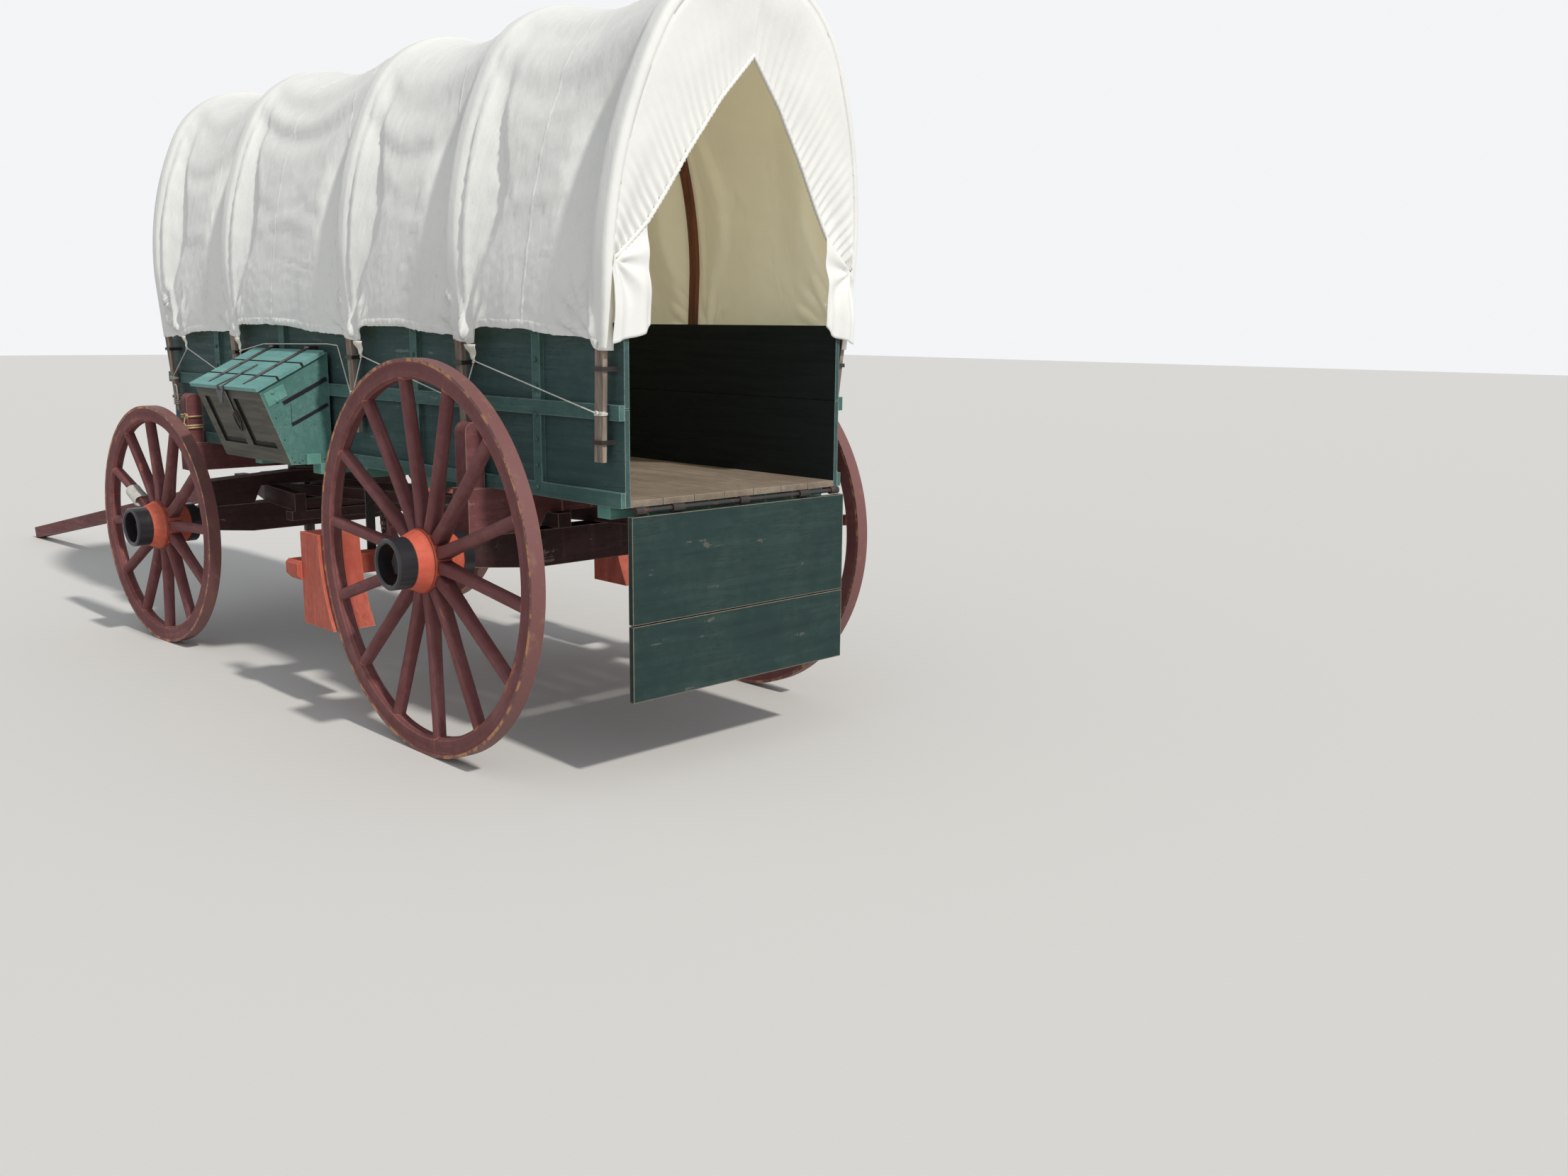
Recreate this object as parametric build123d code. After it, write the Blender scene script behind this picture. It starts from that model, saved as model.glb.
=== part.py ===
from build123d import *
import math
import os

# Covered wagon with a farm wagon's running gear, in millimetres.
# +X forward along the reach, +Y to the wagon's left, +Z up, ground at Z = 0.
# Lengths along X are measured from the rear axle until write() centres the wagon.

# Widths of the box, which the gear and the bows follow
BOX_IN_HALF = 482
PANEL_T = 20
RAIL_T = 22
PANEL_OUT_Y = BOX_IN_HALF + PANEL_T
RAIL_OUT_Y = PANEL_OUT_Y + RAIL_T

# Running gear
WHEELBASE = 2490
STEER_AT_REST = 3.0
WHEEL_ROOM = 276
GAUGE_Y = RAIL_OUT_Y + WHEEL_ROOM
FRONT_R = 570
REAR_R = 710
FRONT_SPOKES = 12
REAR_SPOKES = 14
# How far the wheels have rolled, in degrees
FRONT_ROLL = -12
REAR_ROLL = -6.5

# Wheel rim
TYRE_T = 12
TYRE_W = 54
FELLOE_W = 50
FELLOE_DEPTH = 62
FELLOE_CHAMFER = 11
FELLOE_GAP = 1.2
SPOKES_PER_FELLOE = 2
DISH = 24

# Wheel hub, with Y from the wagon's middle
HUB_IN_L = 185
HUB_OUT_L = 43
HUB_IN_Y = GAUGE_Y - HUB_IN_L
HUB_OUT_Y = GAUGE_Y + HUB_OUT_L
HUB_WAIST_R = 113
HUB_IN_R = 88
HUB_OUT_R = 92
HUB_SEAT_HALF = 34
HUB_RING_T = 4
HUB_RING_W = 7
BAND_T = 5
BAND_IN_W = 42
LIP_CUT = 6
CUP_DEPTH = 70
ARM_R = 32
RUN_FIT = 0.08
END_PLAY = 2
COLLAR_T = 14
COLLAR_R = 52
NUT_R = 44
NUT_T = 26

# Spoke sections from hub to rim: distance share, tangential width, axial depth, corner radius
SPOKE_SECTIONS = [
    (0.00, 45, 60, 8),
    (0.16, 45, 56, 18),
    (0.45, 42, 50, 19),
    (1.00, 44, 46, 20),
]

# Front gear stack, heights above the ground
AXLE_D = 100
AXLE_DROP = 70
AXLE_END_RISE = 30
AXLE_FLAT_HALF = 330
HOUND_T = 84
SAND_TOP = 790
SAND_END_DROP = 25
SAND_CLEAR = 55
SAND_HALF = HUB_IN_Y - SAND_CLEAR
SAND_D = 92
RUB_PLATE_T = 15
RUB_PLATE_R = 90
PLATE_GAP = 0.3

# Bolsters and stakes
BOLSTER_TOP = 955
BOLSTER_D = 104
HUB_CLEAR = 3
BOLSTER_HALF = HUB_IN_Y - HUB_CLEAR
STAKE_CLEAR = 6
STAKE_IN_Y = RAIL_OUT_Y + STAKE_CLEAR
STAKE_T = 75
STAKE_D = 70
STAKE_TOP = 1192
RECESS_HALF = 275
RECESS_SLOPE = 40
KINGPIN_R = 14
KINGPIN_NUT_R = 27
KINGPIN_NUT_T = 30
TRAVEL_GAP = 6

# Reach and hounds
REACH_W = 80
REACH_T = 56
REACH_REAR = 260
REACH_FRONT = 110
REAR_RISE = 65
HOUND_W = 58
HOUND_FRONT_X = 590
HOUND_BACK_X = -480
HOUND_AXLE_Y = 205
HOUND_BACK_Y = 300
REAR_HOUND_X = 760
REAR_HOUND_Y = 250
REAR_HOUND_TAIL = 130
SWAY_BAR_D = 60
SWAY_BAR_T = 45
SWAY_BAR_HALF = 345

# Tongue
TONGUE_W = 80
TONGUE_H = 84
TONGUE_TIP_W = 66
TONGUE_TIP_H = 76
TONGUE_L = 3390
TONGUE_TAIL = 62
TONGUE_SIDE_GAP = 5
TONGUE_PIN_X = 505
TONGUE_PIN_R = 11
TONGUE_PIN_HEAD = 12
EVENER_HOLE_R = 11
EVENER_HOLE_X = 190
YOKE_HOLE_R = 9
YOKE_HOLE_FROM_TIP = 120

# Box
BOX_REAR_X = -815
BOX_AHEAD = 370
BOX_FRONT_X = WHEELBASE + BOX_AHEAD
FLOOR_T = 22
FLOOR_BOARDS = 7
FLOOR_SEAM = 3
LOWER_SIDE_TOP = 1272
SIDE_TOP = 1545
PANEL_SEAM = 2
RAIL_Z = 1236
RAIL_H = 50
SILL_STRIP_T = 18
SILL_STRIP_H = 50
CLEAT_W = 46
CLEAT_XS = (-355, 450, 1570, 2260)
FRONT_BOARD_SETBACK = 40
FRONT_CLEAT_W = 60
SILL_W = 70
SILL_H = 45
SILL_OUT = 56
SILL_LONG_HALF = RAIL_OUT_Y + SILL_OUT
SILL_BACK = 80
# Cross sills: place along the wagon, whether the ends stand out past the side
CROSS_SILLS = [
    (-700, False),
    (400, False),
    (920, False),
    (1170, True),
    (1735, True),
    (BOX_FRONT_X - SILL_BACK, False),
]

# Bows and cover
ARCH_OUT = 73
ARCH_HALF = PANEL_OUT_Y + ARCH_OUT
ARCH_SPRING_Z = 1750
ARCH_TOP_Z = 2690
ARCH_TOP_IN = 115
ARCH_TOP_R = ARCH_HALF - ARCH_TOP_IN
BOW_FOOT_OUT = 43
BOW_FOOT_Y = PANEL_OUT_Y + BOW_FOOT_OUT
BOW_BACK = 140
BOW_FOOT_Z = 1100
BOW_T = 18
BOW_W = 42
# Bows: foot place along the wagon, lean forward per unit of height
BOWS = [
    (-730, -0.094),
    (65, 0.0),
    (880, 0.0),
    (1980, 0.0),
    (BOX_FRONT_X - BOW_BACK, 0.094),
]
STAPLE_T = 5
STAPLE_H = 14
STAPLE_ZS = (1165, 1400)
COVER_T = 5
COVER_GAP = 0.3
COVER_HANG = 30
HEM_Z = 1458
HEM_RISE = 64
# Each tie stands this far behind its bow; the hem steps up behind it and then falls slowly
TIES_BEHIND = (0, 90, 90, 70, 200)
HEM_STEP = 45
# Sag of the cloth's ridge and of its sides: at the crease ahead of a bow, between two bows and
# just behind the next bow
CREST_HALF = 24
CREASE_AHEAD = 175
CREASE_BEHIND = 66
CREASE_SAG = (34, 88)
MIDDLE_SAG = (62, 54)
BEHIND_SAG = (18, 44)
END_T = 5
FRONT_HOLE_HALF = 242
FRONT_HOLE_LOW = 1708
FRONT_HOLE_TOP = 2332
# The rear opening: its top, two points down each drawn edge, and the loose flap's corner
CURTAIN_TOP_Z = 2405
CURTAIN_EDGE = [(ARCH_HALF - 316, 2083), (ARCH_HALF - 165, 1858), (ARCH_HALF - 173, 1540)]

# Tailgate
GATE_HINGE_OUT = 20
GATE_HINGE_DROP = 10
GATE_HINGE_X = BOX_REAR_X - GATE_HINGE_OUT
GATE_HINGE_Z = BOLSTER_TOP - GATE_HINGE_DROP
GATE_T = 22
GATE_TOP_GAP = 17
GATE_LOWER_H = 358
GATE_UPPER_H = 258
GATE_SEAM = 5
GATE_ROD_R = 8
GATE_EYE_R = 14
GATE_EYE_W = 40
GATE_EYE_IN = 22
GATE_EYE_Y = BOX_IN_HALF - GATE_EYE_IN
GATE_STRAP_IN = 182
GATE_STRAP_Y = BOX_IN_HALF - GATE_STRAP_IN
GATE_STRAP_W = 50
GATE_STRAP_T = 5
GATE_STRAP_L = 560
GATE_BATTEN_T = 20
GATE_BATTEN_W = 70
GATE_BATTEN_IN = 92
GATE_BATTEN_Y = BOX_IN_HALF - GATE_BATTEN_IN
GATE_PLATE_L = 75
GATE_PLATE_T = 8

# Toolbox on the left side
CHEST_REAR_X = 1140
CHEST_L = 640
CHEST_TOP_Z = 1415
CHEST_LIP_Z = 1262
CHEST_LIP_OUT = 302
CHEST_FOOT_OUT = 181
CHEST_LIP_Y = RAIL_OUT_Y + CHEST_LIP_OUT
CHEST_FOOT_Y = RAIL_OUT_Y + CHEST_FOOT_OUT
CHEST_WALL = 18
FACE_STILE = 62
FACE_RAIL = (46, 70)
FACE_DEEP = 8
LID_T = 16
LID_GAP = 1
LID_OVER = 12
LID_GROOVE_W = 5
LID_GROOVE_D = 5
LID_GROOVES = (0.36, 0.70)
LID_STRAP_XS = (150, 490)
LID_STRAP_W = 34
LID_STRAP_T = 4
LID_STRAP_L = 270
LID_PIN_R = 4
LID_KNUCKLE_R = 9
LID_SETBACK = 2
LID_KNUCKLE_GAP = 5
EAR_T = 5
EAR_R = 8

# Brake
BRAKE_GAP = 12
SHOE_Z = (350, 720)
SHOE_IN = 165
SHOE_OUT = 12
SHOE_Y = (GAUGE_Y - SHOE_IN, GAUGE_Y + SHOE_OUT)
SHOE_FRONT_X = 870
BEAM_D = 100
BEAM_Z = (520, 600)
BEAM_OUT = 32
BEAM_HALF = GAUGE_Y + BEAM_OUT
BEAM_CUT = 24
HANGER_IN = 42
HANGER_Y = PANEL_OUT_Y - HANGER_IN
HANGER_W = 40
HANGER_T = 6
LEVER_X = 1500
LEVER_OUT = 98
LEVER_Y = PANEL_OUT_Y + LEVER_OUT
LEVER_T = 12
LEVER_W = 42
LEVER_FOOT_Z = 720
LEVER_TOP_Z = 1700
LEVER_LEAN = 14.0
LEVER_PIVOT_Z = 985
ROD_R = 8
ROD_PLATE_T = 10
RATCHET_Z = 1262

OUT = "parts"


def block(x, y, z):
    """A block between pairs of coordinates."""
    size = Box(x[1] - x[0], y[1] - y[0], z[1] - z[0])
    return Pos((x[0] + x[1]) / 2, (y[0] + y[1]) / 2, (z[0] + z[1]) / 2) * size


def across(points, x):
    """A (y, z) outline carried along X between a pair of places."""
    face = Plane.YZ * make_face(Polyline(*points, close=True))
    return Pos(x[0], 0, 0) * extrude(face, x[1] - x[0])


def along(points, half):
    """An (x, z) outline carried across the wagon to both sides of its middle."""
    face = Plane.XZ * make_face(Polyline(*points, close=True))
    return extrude(face, half, both=True)


def flat(points, z):
    """An (x, y) outline carried up between a pair of heights."""
    face = make_face(Polyline(*points, close=True))
    return Pos(0, 0, z[0]) * extrude(face, z[1] - z[0])


def across_bar(radius, y):
    """A round bar across the wagon between a pair of places."""
    bar = Rot(90, 0, 0) * Cylinder(radius, y[1] - y[0])
    return Pos(0, (y[0] + y[1]) / 2, 0) * bar


def other_side(solid):
    return mirror(solid, Plane.XZ)


def both_sides(solid):
    return [solid, other_side(solid)]


FLOOR_TOP = BOLSTER_TOP + FLOOR_T
FRONT_AXLE_TOP = FRONT_R + AXLE_DROP
REAR_AXLE_TOP = REAR_R + AXLE_DROP
SAND_RECESS_Z = FRONT_AXLE_TOP + HOUND_T
REACH_FRONT_Z = FRONT_AXLE_TOP + HOUND_T / 2
REACH_REAR_Z = REAR_AXLE_TOP + REAR_RISE / 2
REACH_SLOPE = math.degrees(math.atan2(REACH_REAR_Z - REACH_FRONT_Z, WHEELBASE))
FRONT_BOLSTER_BOTTOM = SAND_TOP + 2 * RUB_PLATE_T + PLATE_GAP
AXLE_END_Y = HUB_IN_Y - END_PLAY - COLLAR_T
TONGUE_DROP = math.degrees(
    math.asin(REACH_FRONT_Z / math.hypot(TONGUE_L, TONGUE_TIP_H / 2))
    - math.atan2(TONGUE_TIP_H / 2, TONGUE_L)
)


def tongue_reach():
    """Distance of the tongue's tip ahead of the kingpin."""
    drop = math.radians(TONGUE_DROP)
    ahead = TONGUE_L * math.cos(drop) + TONGUE_TIP_H / 2 * math.sin(drop)
    return TONGUE_PIN_X + ahead


def front_end_x():
    """Foremost place of the steered tongue."""
    turn = math.radians(STEER_AT_REST)
    return WHEELBASE + tongue_reach() * math.cos(turn) + TONGUE_TIP_W / 2 * math.sin(turn)


def rear_end_x():
    """Hindmost place of the leaning cover."""
    foot, lean = BOWS[0]
    top = ARCH_TOP_Z + COVER_GAP + COVER_T
    return foot - COVER_HANG + lean * (top - BOW_FOOT_Z)


MIDDLE_X = (front_end_x() + rear_end_x()) / 2
FRONT_GEAR = Pos(WHEELBASE, 0, 0) * Rot(0, 0, STEER_AT_REST)


def write(name, solids):
    """One STEP file for a node, with the wagon's middle at X = 0."""
    parts = solids if isinstance(solids, list) else [solids]
    moved = [Pos(-MIDDLE_X, 0, 0) * part for part in parts]
    export_step(Compound(children=moved) if len(moved) > 1 else moved[0], f"{OUT}/{name}.step")


# Wheels, built with the axle along Y and the outer side at +Y


def hub():
    seat_y = GAUGE_Y - TYRE_W / 2 - DISH
    profile = Polyline(
        (0, HUB_IN_Y),
        (HUB_IN_R, HUB_IN_Y),
        (HUB_IN_R, HUB_IN_Y + BAND_IN_W),
        (HUB_WAIST_R, seat_y - HUB_SEAT_HALF),
        (HUB_WAIST_R, seat_y + HUB_SEAT_HALF),
        (HUB_WAIST_R + HUB_RING_T, seat_y + HUB_SEAT_HALF),
        (HUB_WAIST_R + HUB_RING_T, seat_y + HUB_SEAT_HALF + HUB_RING_W),
        (HUB_WAIST_R, seat_y + HUB_SEAT_HALF + HUB_RING_W),
        (HUB_OUT_R, HUB_OUT_Y),
        (0, HUB_OUT_Y),
        close=True,
    )
    nave = revolve(make_face(profile), Axis.Y)
    return nave - across_bar(ARM_R + RUN_FIT, (HUB_IN_Y - 1, HUB_OUT_Y + 1))


def hub_bands():
    inner = across_bar(HUB_IN_R + BAND_T, (HUB_IN_Y, HUB_IN_Y + BAND_IN_W))
    inner -= across_bar(HUB_IN_R, (HUB_IN_Y, HUB_IN_Y + BAND_IN_W))
    cup_end = HUB_OUT_Y + CUP_DEPTH
    cup_in_r = HUB_OUT_R - 4 * BAND_T
    rim = Polyline(
        (cup_in_r, HUB_OUT_Y),
        (HUB_OUT_R, HUB_OUT_Y),
        (HUB_OUT_R, cup_end - LIP_CUT),
        (HUB_OUT_R - LIP_CUT, cup_end),
        (cup_in_r + LIP_CUT, cup_end),
        (cup_in_r, cup_end - LIP_CUT),
        close=True,
    )
    return [inner, revolve(make_face(rim), Axis.Y)]


def spokes(radius, count):
    inner_r = radius - TYRE_T - FELLOE_DEPTH
    seat_y = GAUGE_Y - TYRE_W / 2 - DISH
    span = inner_r - HUB_WAIST_R
    sections = []
    for share, width, depth, corner in SPOKE_SECTIONS:
        height = HUB_WAIST_R + share * span
        if share == 0:
            height -= width / 4
        if share == 1:
            height += width / 4
        outline = RectangleRounded(width, depth, corner)
        sections.append(Pos(0, seat_y + share * DISH, height) * outline)
    spoke = loft(sections, ruled=True)
    wide = (seat_y - radius / 2, seat_y + radius / 2)
    spoke &= across_bar(inner_r + FELLOE_CHAMFER, wide) - across_bar(HUB_WAIST_R, wide)
    spoke -= revolve(felloe_section(radius), Axis.Y)
    return [Rot(0, (index + 0.5) * 360 / count, 0) * spoke for index in range(count)]


def felloe_section(radius):
    outer_r = radius - TYRE_T
    inner_r = outer_r - FELLOE_DEPTH
    middle = GAUGE_Y - TYRE_W / 2
    low, high = middle - FELLOE_W / 2, middle + FELLOE_W / 2
    cut = FELLOE_CHAMFER
    section = Polyline(
        (outer_r, low),
        (outer_r, high),
        (inner_r + cut, high),
        (inner_r, high - cut),
        (inner_r, low + cut),
        (inner_r + cut, low),
        close=True,
    )
    return make_face(section)


def felloes(radius, count):
    pieces = count // SPOKES_PER_FELLOE
    joint = math.degrees(FELLOE_GAP / (radius - TYRE_T))
    felloe = revolve(felloe_section(radius), Axis.Y, revolution_arc=360 / pieces - joint)
    return [Rot(0, index * 360 / pieces, 0) * felloe for index in range(pieces)]


def tyre(radius):
    wide = (GAUGE_Y - TYRE_W, GAUGE_Y)
    return across_bar(radius, wide) - across_bar(radius - TYRE_T, wide)


def axle_arms():
    """Both iron arms of an axle on the Y axis, each with its collar and nut."""
    collar = across_bar(COLLAR_R, (AXLE_END_Y, AXLE_END_Y + COLLAR_T))
    arm = across_bar(ARM_R, (AXLE_END_Y, HUB_OUT_Y + END_PLAY))
    nut_y = HUB_OUT_Y + END_PLAY
    nut = extrude(Plane.XZ * RegularPolygon(NUT_R, 6), -NUT_T)
    return both_sides(collar + arm + Pos(0, nut_y, 0) * nut)


def wheels():
    # Wheels: name, radius, spokes, roll, placement of the axle's middle, left side or not
    table = [
        ("front_left", FRONT_R, FRONT_SPOKES, FRONT_ROLL, FRONT_GEAR, True),
        ("front_right", FRONT_R, FRONT_SPOKES, FRONT_ROLL, FRONT_GEAR, False),
        ("rear_left", REAR_R, REAR_SPOKES, REAR_ROLL, Pos(0, 0, 0), True),
        ("rear_right", REAR_R, REAR_SPOKES, REAR_ROLL, Pos(0, 0, 0), False),
    ]
    for name, radius, count, roll, place, left in table:
        at = place * Pos(0, 0, radius) * Rot(0, 0, 0 if left else 180) * Rot(0, roll, 0)
        write(f"{name}_hub", at * hub())
        write(f"{name}_hub_bands", [at * band for band in hub_bands()])
        write(f"{name}_spokes", [at * spoke for spoke in spokes(radius, count)])
        write(f"{name}_felloes", [at * felloe for felloe in felloes(radius, count)])
        write(f"{name}_tyre", at * tyre(radius))


# Front gear, with X from the kingpin


def kingpin_hole(low, high):
    return Pos(0, 0, (low + high) / 2) * Cylinder(KINGPIN_R + RUN_FIT, high - low)


def axle_timber(axis_z):
    bottom = axis_z - AXLE_DROP
    top = axis_z + AXLE_DROP
    outline = [
        (-AXLE_END_Y, bottom + AXLE_END_RISE),
        (-AXLE_FLAT_HALF, bottom),
        (AXLE_FLAT_HALF, bottom),
        (AXLE_END_Y, bottom + AXLE_END_RISE),
        (AXLE_END_Y, top),
        (-AXLE_END_Y, top),
    ]
    return across(outline, (-AXLE_D / 2, AXLE_D / 2))


def recessed_outline(half, bottom, recess, top_middle, top_end):
    """A timber that stands on its ends, with a recess under its middle."""
    return [
        (-half, bottom),
        (-RECESS_HALF - RECESS_SLOPE, bottom),
        (-RECESS_HALF, recess),
        (RECESS_HALF, recess),
        (RECESS_HALF + RECESS_SLOPE, bottom),
        (half, bottom),
        (half, top_end),
        (RUB_PLATE_R, top_middle),
        (-RUB_PLATE_R, top_middle),
        (-half, top_end),
    ]


def sand_board():
    outline = recessed_outline(
        SAND_HALF, FRONT_AXLE_TOP, SAND_RECESS_Z, SAND_TOP, SAND_TOP - SAND_END_DROP
    )
    board = across(outline, (-SAND_D / 2, SAND_D / 2))
    plate = Pos(0, 0, SAND_TOP + RUB_PLATE_T / 2) * Cylinder(RUB_PLATE_R, RUB_PLATE_T)
    return board + plate - kingpin_hole(FRONT_AXLE_TOP, SAND_TOP + 2 * RUB_PLATE_T)


def front_hounds():
    nose_in = TONGUE_W / 2 + TONGUE_SIDE_GAP
    straight_x = TONGUE_PIN_X - 2 * TONGUE_TAIL
    hound = flat(
        [
            (HOUND_BACK_X, HOUND_BACK_Y - HOUND_W / 2),
            (0, HOUND_AXLE_Y - HOUND_W / 2),
            (straight_x, nose_in),
            (HOUND_FRONT_X, nose_in),
            (HOUND_FRONT_X, nose_in + HOUND_W),
            (straight_x, nose_in + HOUND_W),
            (0, HOUND_AXLE_Y + HOUND_W / 2),
            (HOUND_BACK_X, HOUND_BACK_Y + HOUND_W / 2),
        ],
        (FRONT_AXLE_TOP, SAND_RECESS_Z),
    )
    pin_bore = Pos(TONGUE_PIN_X, 0, REACH_FRONT_Z) * across_bar(
        TONGUE_PIN_R, (0, nose_in + 2 * HOUND_W)
    )
    hound -= pin_bore
    sway_bar = block(
        (HOUND_BACK_X, HOUND_BACK_X + SWAY_BAR_D),
        (-SWAY_BAR_HALF, SWAY_BAR_HALF),
        (FRONT_AXLE_TOP - SWAY_BAR_T, FRONT_AXLE_TOP),
    )
    return hound + other_side(hound) + sway_bar


def tongue_pin():
    half = TONGUE_W / 2 + TONGUE_SIDE_GAP + HOUND_W + TONGUE_PIN_HEAD
    pin = across_bar(TONGUE_PIN_R, (-half, half))
    head = across_bar(2 * TONGUE_PIN_R, (half - TONGUE_PIN_HEAD, half))
    return Pos(TONGUE_PIN_X, 0, REACH_FRONT_Z) * (pin + head + other_side(head))


def front_gear():
    axle = axle_timber(FRONT_R) - kingpin_hole(0, FRONT_AXLE_TOP)
    write("front_axle", FRONT_GEAR * axle)
    write("front_axle_arms", [FRONT_GEAR * Pos(0, 0, FRONT_R) * arm for arm in axle_arms()])
    write("sand_board", FRONT_GEAR * sand_board())
    write("front_hounds", FRONT_GEAR * front_hounds())
    write("tongue_pin", FRONT_GEAR * tongue_pin())


def tongue():
    tail = Plane.YZ.offset(-TONGUE_TAIL) * Rectangle(TONGUE_W, TONGUE_H)
    butt = Plane.YZ.offset(HOUND_FRONT_X - TONGUE_PIN_X) * Rectangle(TONGUE_W, TONGUE_H)
    tip = Plane.YZ.offset(TONGUE_L) * Rectangle(TONGUE_TIP_W, TONGUE_TIP_H)
    bar = loft([tail, butt, tip], ruled=True)
    bar -= across_bar(TONGUE_PIN_R + RUN_FIT, (-TONGUE_W, TONGUE_W))
    bar -= Pos(EVENER_HOLE_X, 0, 0) * Cylinder(EVENER_HOLE_R, 2 * TONGUE_H)
    bar -= Pos(TONGUE_L - YOKE_HOLE_FROM_TIP, 0, 0) * Cylinder(YOKE_HOLE_R, 2 * TONGUE_H)
    at_pin = Pos(TONGUE_PIN_X, 0, REACH_FRONT_Z) * Rot(0, TONGUE_DROP, 0)
    write("tongue", FRONT_GEAR * at_pin * bar)


# Rear gear and bolsters


def stake():
    """A bolster stake with a round top, on the left."""
    outline = Plane.YZ * (
        Pos(STAKE_IN_Y + STAKE_T / 2, (BOLSTER_TOP + STAKE_TOP) / 2)
        * RectangleRounded(STAKE_T, 2 * (STAKE_TOP - BOLSTER_TOP), STAKE_T / 2 - 1)
    )
    post = Pos(-STAKE_D / 2, 0, 0) * extrude(outline, STAKE_D)
    keep = block((-STAKE_D, STAKE_D), (0, 2 * STAKE_IN_Y), (BOLSTER_TOP - 1, STAKE_TOP))
    drop = Pos(0, 0, -(STAKE_TOP - BOLSTER_TOP) / 2)
    return (drop * post) & keep


def front_bolster():
    outline = [
        (-BOLSTER_HALF, FRONT_BOLSTER_BOTTOM),
        (BOLSTER_HALF, FRONT_BOLSTER_BOTTOM),
        (BOLSTER_HALF, BOLSTER_TOP),
        (-BOLSTER_HALF, BOLSTER_TOP),
    ]
    beam = across(outline, (-BOLSTER_D / 2, BOLSTER_D / 2))
    beam = beam + stake() + other_side(stake())
    beam -= Pos(0, 0, BOLSTER_TOP) * Cylinder(KINGPIN_R, 2 * BOLSTER_TOP)
    return Pos(WHEELBASE, 0, 0) * beam


def rear_bolster():
    outline = recessed_outline(
        BOLSTER_HALF, REAR_AXLE_TOP, REAR_AXLE_TOP + REAR_RISE, BOLSTER_TOP, BOLSTER_TOP
    )
    beam = across(outline, (-BOLSTER_D / 2, BOLSTER_D / 2))
    return beam + stake() + other_side(stake())


def kingpin():
    foot = FRONT_R - AXLE_DROP - TRAVEL_GAP - KINGPIN_NUT_T
    pin = Pos(0, 0, (foot + BOLSTER_TOP) / 2) * Cylinder(KINGPIN_R, BOLSTER_TOP - foot)
    nut = Pos(0, 0, foot) * extrude(RegularPolygon(KINGPIN_NUT_R, 6), KINGPIN_NUT_T)
    plate_z = FRONT_BOLSTER_BOTTOM - RUB_PLATE_T / 2
    plate = Pos(0, 0, plate_z) * Cylinder(RUB_PLATE_R, RUB_PLATE_T)
    return Pos(WHEELBASE, 0, 0) * (pin + nut + plate)


def sloped(shape):
    """What lies along the reach, turned down from the rear axle to the front gear."""
    return Pos(0, 0, REACH_REAR_Z) * Rot(0, REACH_SLOPE, 0) * shape


def reach():
    bar = block(
        (-REACH_REAR, WHEELBASE + REACH_FRONT), (-REACH_W / 2, REACH_W / 2), (-REACH_T / 2, REACH_T / 2)
    )
    hole = Pos(WHEELBASE, 0, REACH_FRONT_Z) * Cylinder(KINGPIN_R, 4 * REACH_T)
    return sloped(bar) - hole


def rear_hounds():
    inner = REACH_W / 2
    hound = flat(
        [
            (-REAR_HOUND_TAIL, REAR_HOUND_Y - HOUND_W / 2),
            (REAR_HOUND_X - 2 * HOUND_W, inner),
            (REAR_HOUND_X, inner),
            (REAR_HOUND_X, inner + HOUND_W / 2),
            (-REAR_HOUND_TAIL, REAR_HOUND_Y + HOUND_W / 2),
        ],
        (-REACH_T / 2, REACH_T / 2),
    )
    return [sloped(hound), sloped(other_side(hound))]


def rear_gear():
    write("front_bolster", front_bolster())
    write("kingpin", kingpin())
    write("reach", reach())
    write("rear_axle", axle_timber(REAR_R))
    write("rear_axle_arms", [Pos(0, 0, REAR_R) * arm for arm in axle_arms()])
    write("rear_bolster", rear_bolster())
    write("rear_hounds", rear_hounds())


# Box


def floor():
    board_w = (2 * BOX_IN_HALF - 2 - (FLOOR_BOARDS - 1) * FLOOR_SEAM) / FLOOR_BOARDS
    boards = []
    for index in range(FLOOR_BOARDS):
        right = -BOX_IN_HALF + 1 + index * (board_w + FLOOR_SEAM)
        boards.append(
            block((BOX_REAR_X, BOX_FRONT_X), (right, right + board_w), (BOLSTER_TOP, FLOOR_TOP))
        )
    return boards


def cross_sills():
    sills = []
    for x, stands_out in CROSS_SILLS:
        half = SILL_LONG_HALF if stands_out else PANEL_OUT_Y
        sills.append(
            block((x - SILL_W / 2, x + SILL_W / 2), (-half, half), (BOLSTER_TOP - SILL_H, BOLSTER_TOP))
        )
    return sills


def side_frame():
    """The left side's strips and cleats, nailed outside its panels."""
    long = (BOX_REAR_X, BOX_FRONT_X)
    frame = block(long, (PANEL_OUT_Y, RAIL_OUT_Y), (RAIL_Z, RAIL_Z + RAIL_H))
    frame += block(
        long, (PANEL_OUT_Y, PANEL_OUT_Y + SILL_STRIP_T), (BOLSTER_TOP, BOLSTER_TOP + SILL_STRIP_H)
    )
    for x in CLEAT_XS:
        frame += block(
            (x - CLEAT_W / 2, x + CLEAT_W / 2),
            (PANEL_OUT_Y, PANEL_OUT_Y + SILL_STRIP_T),
            (BOLSTER_TOP, SIDE_TOP),
        )
    return frame


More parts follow.
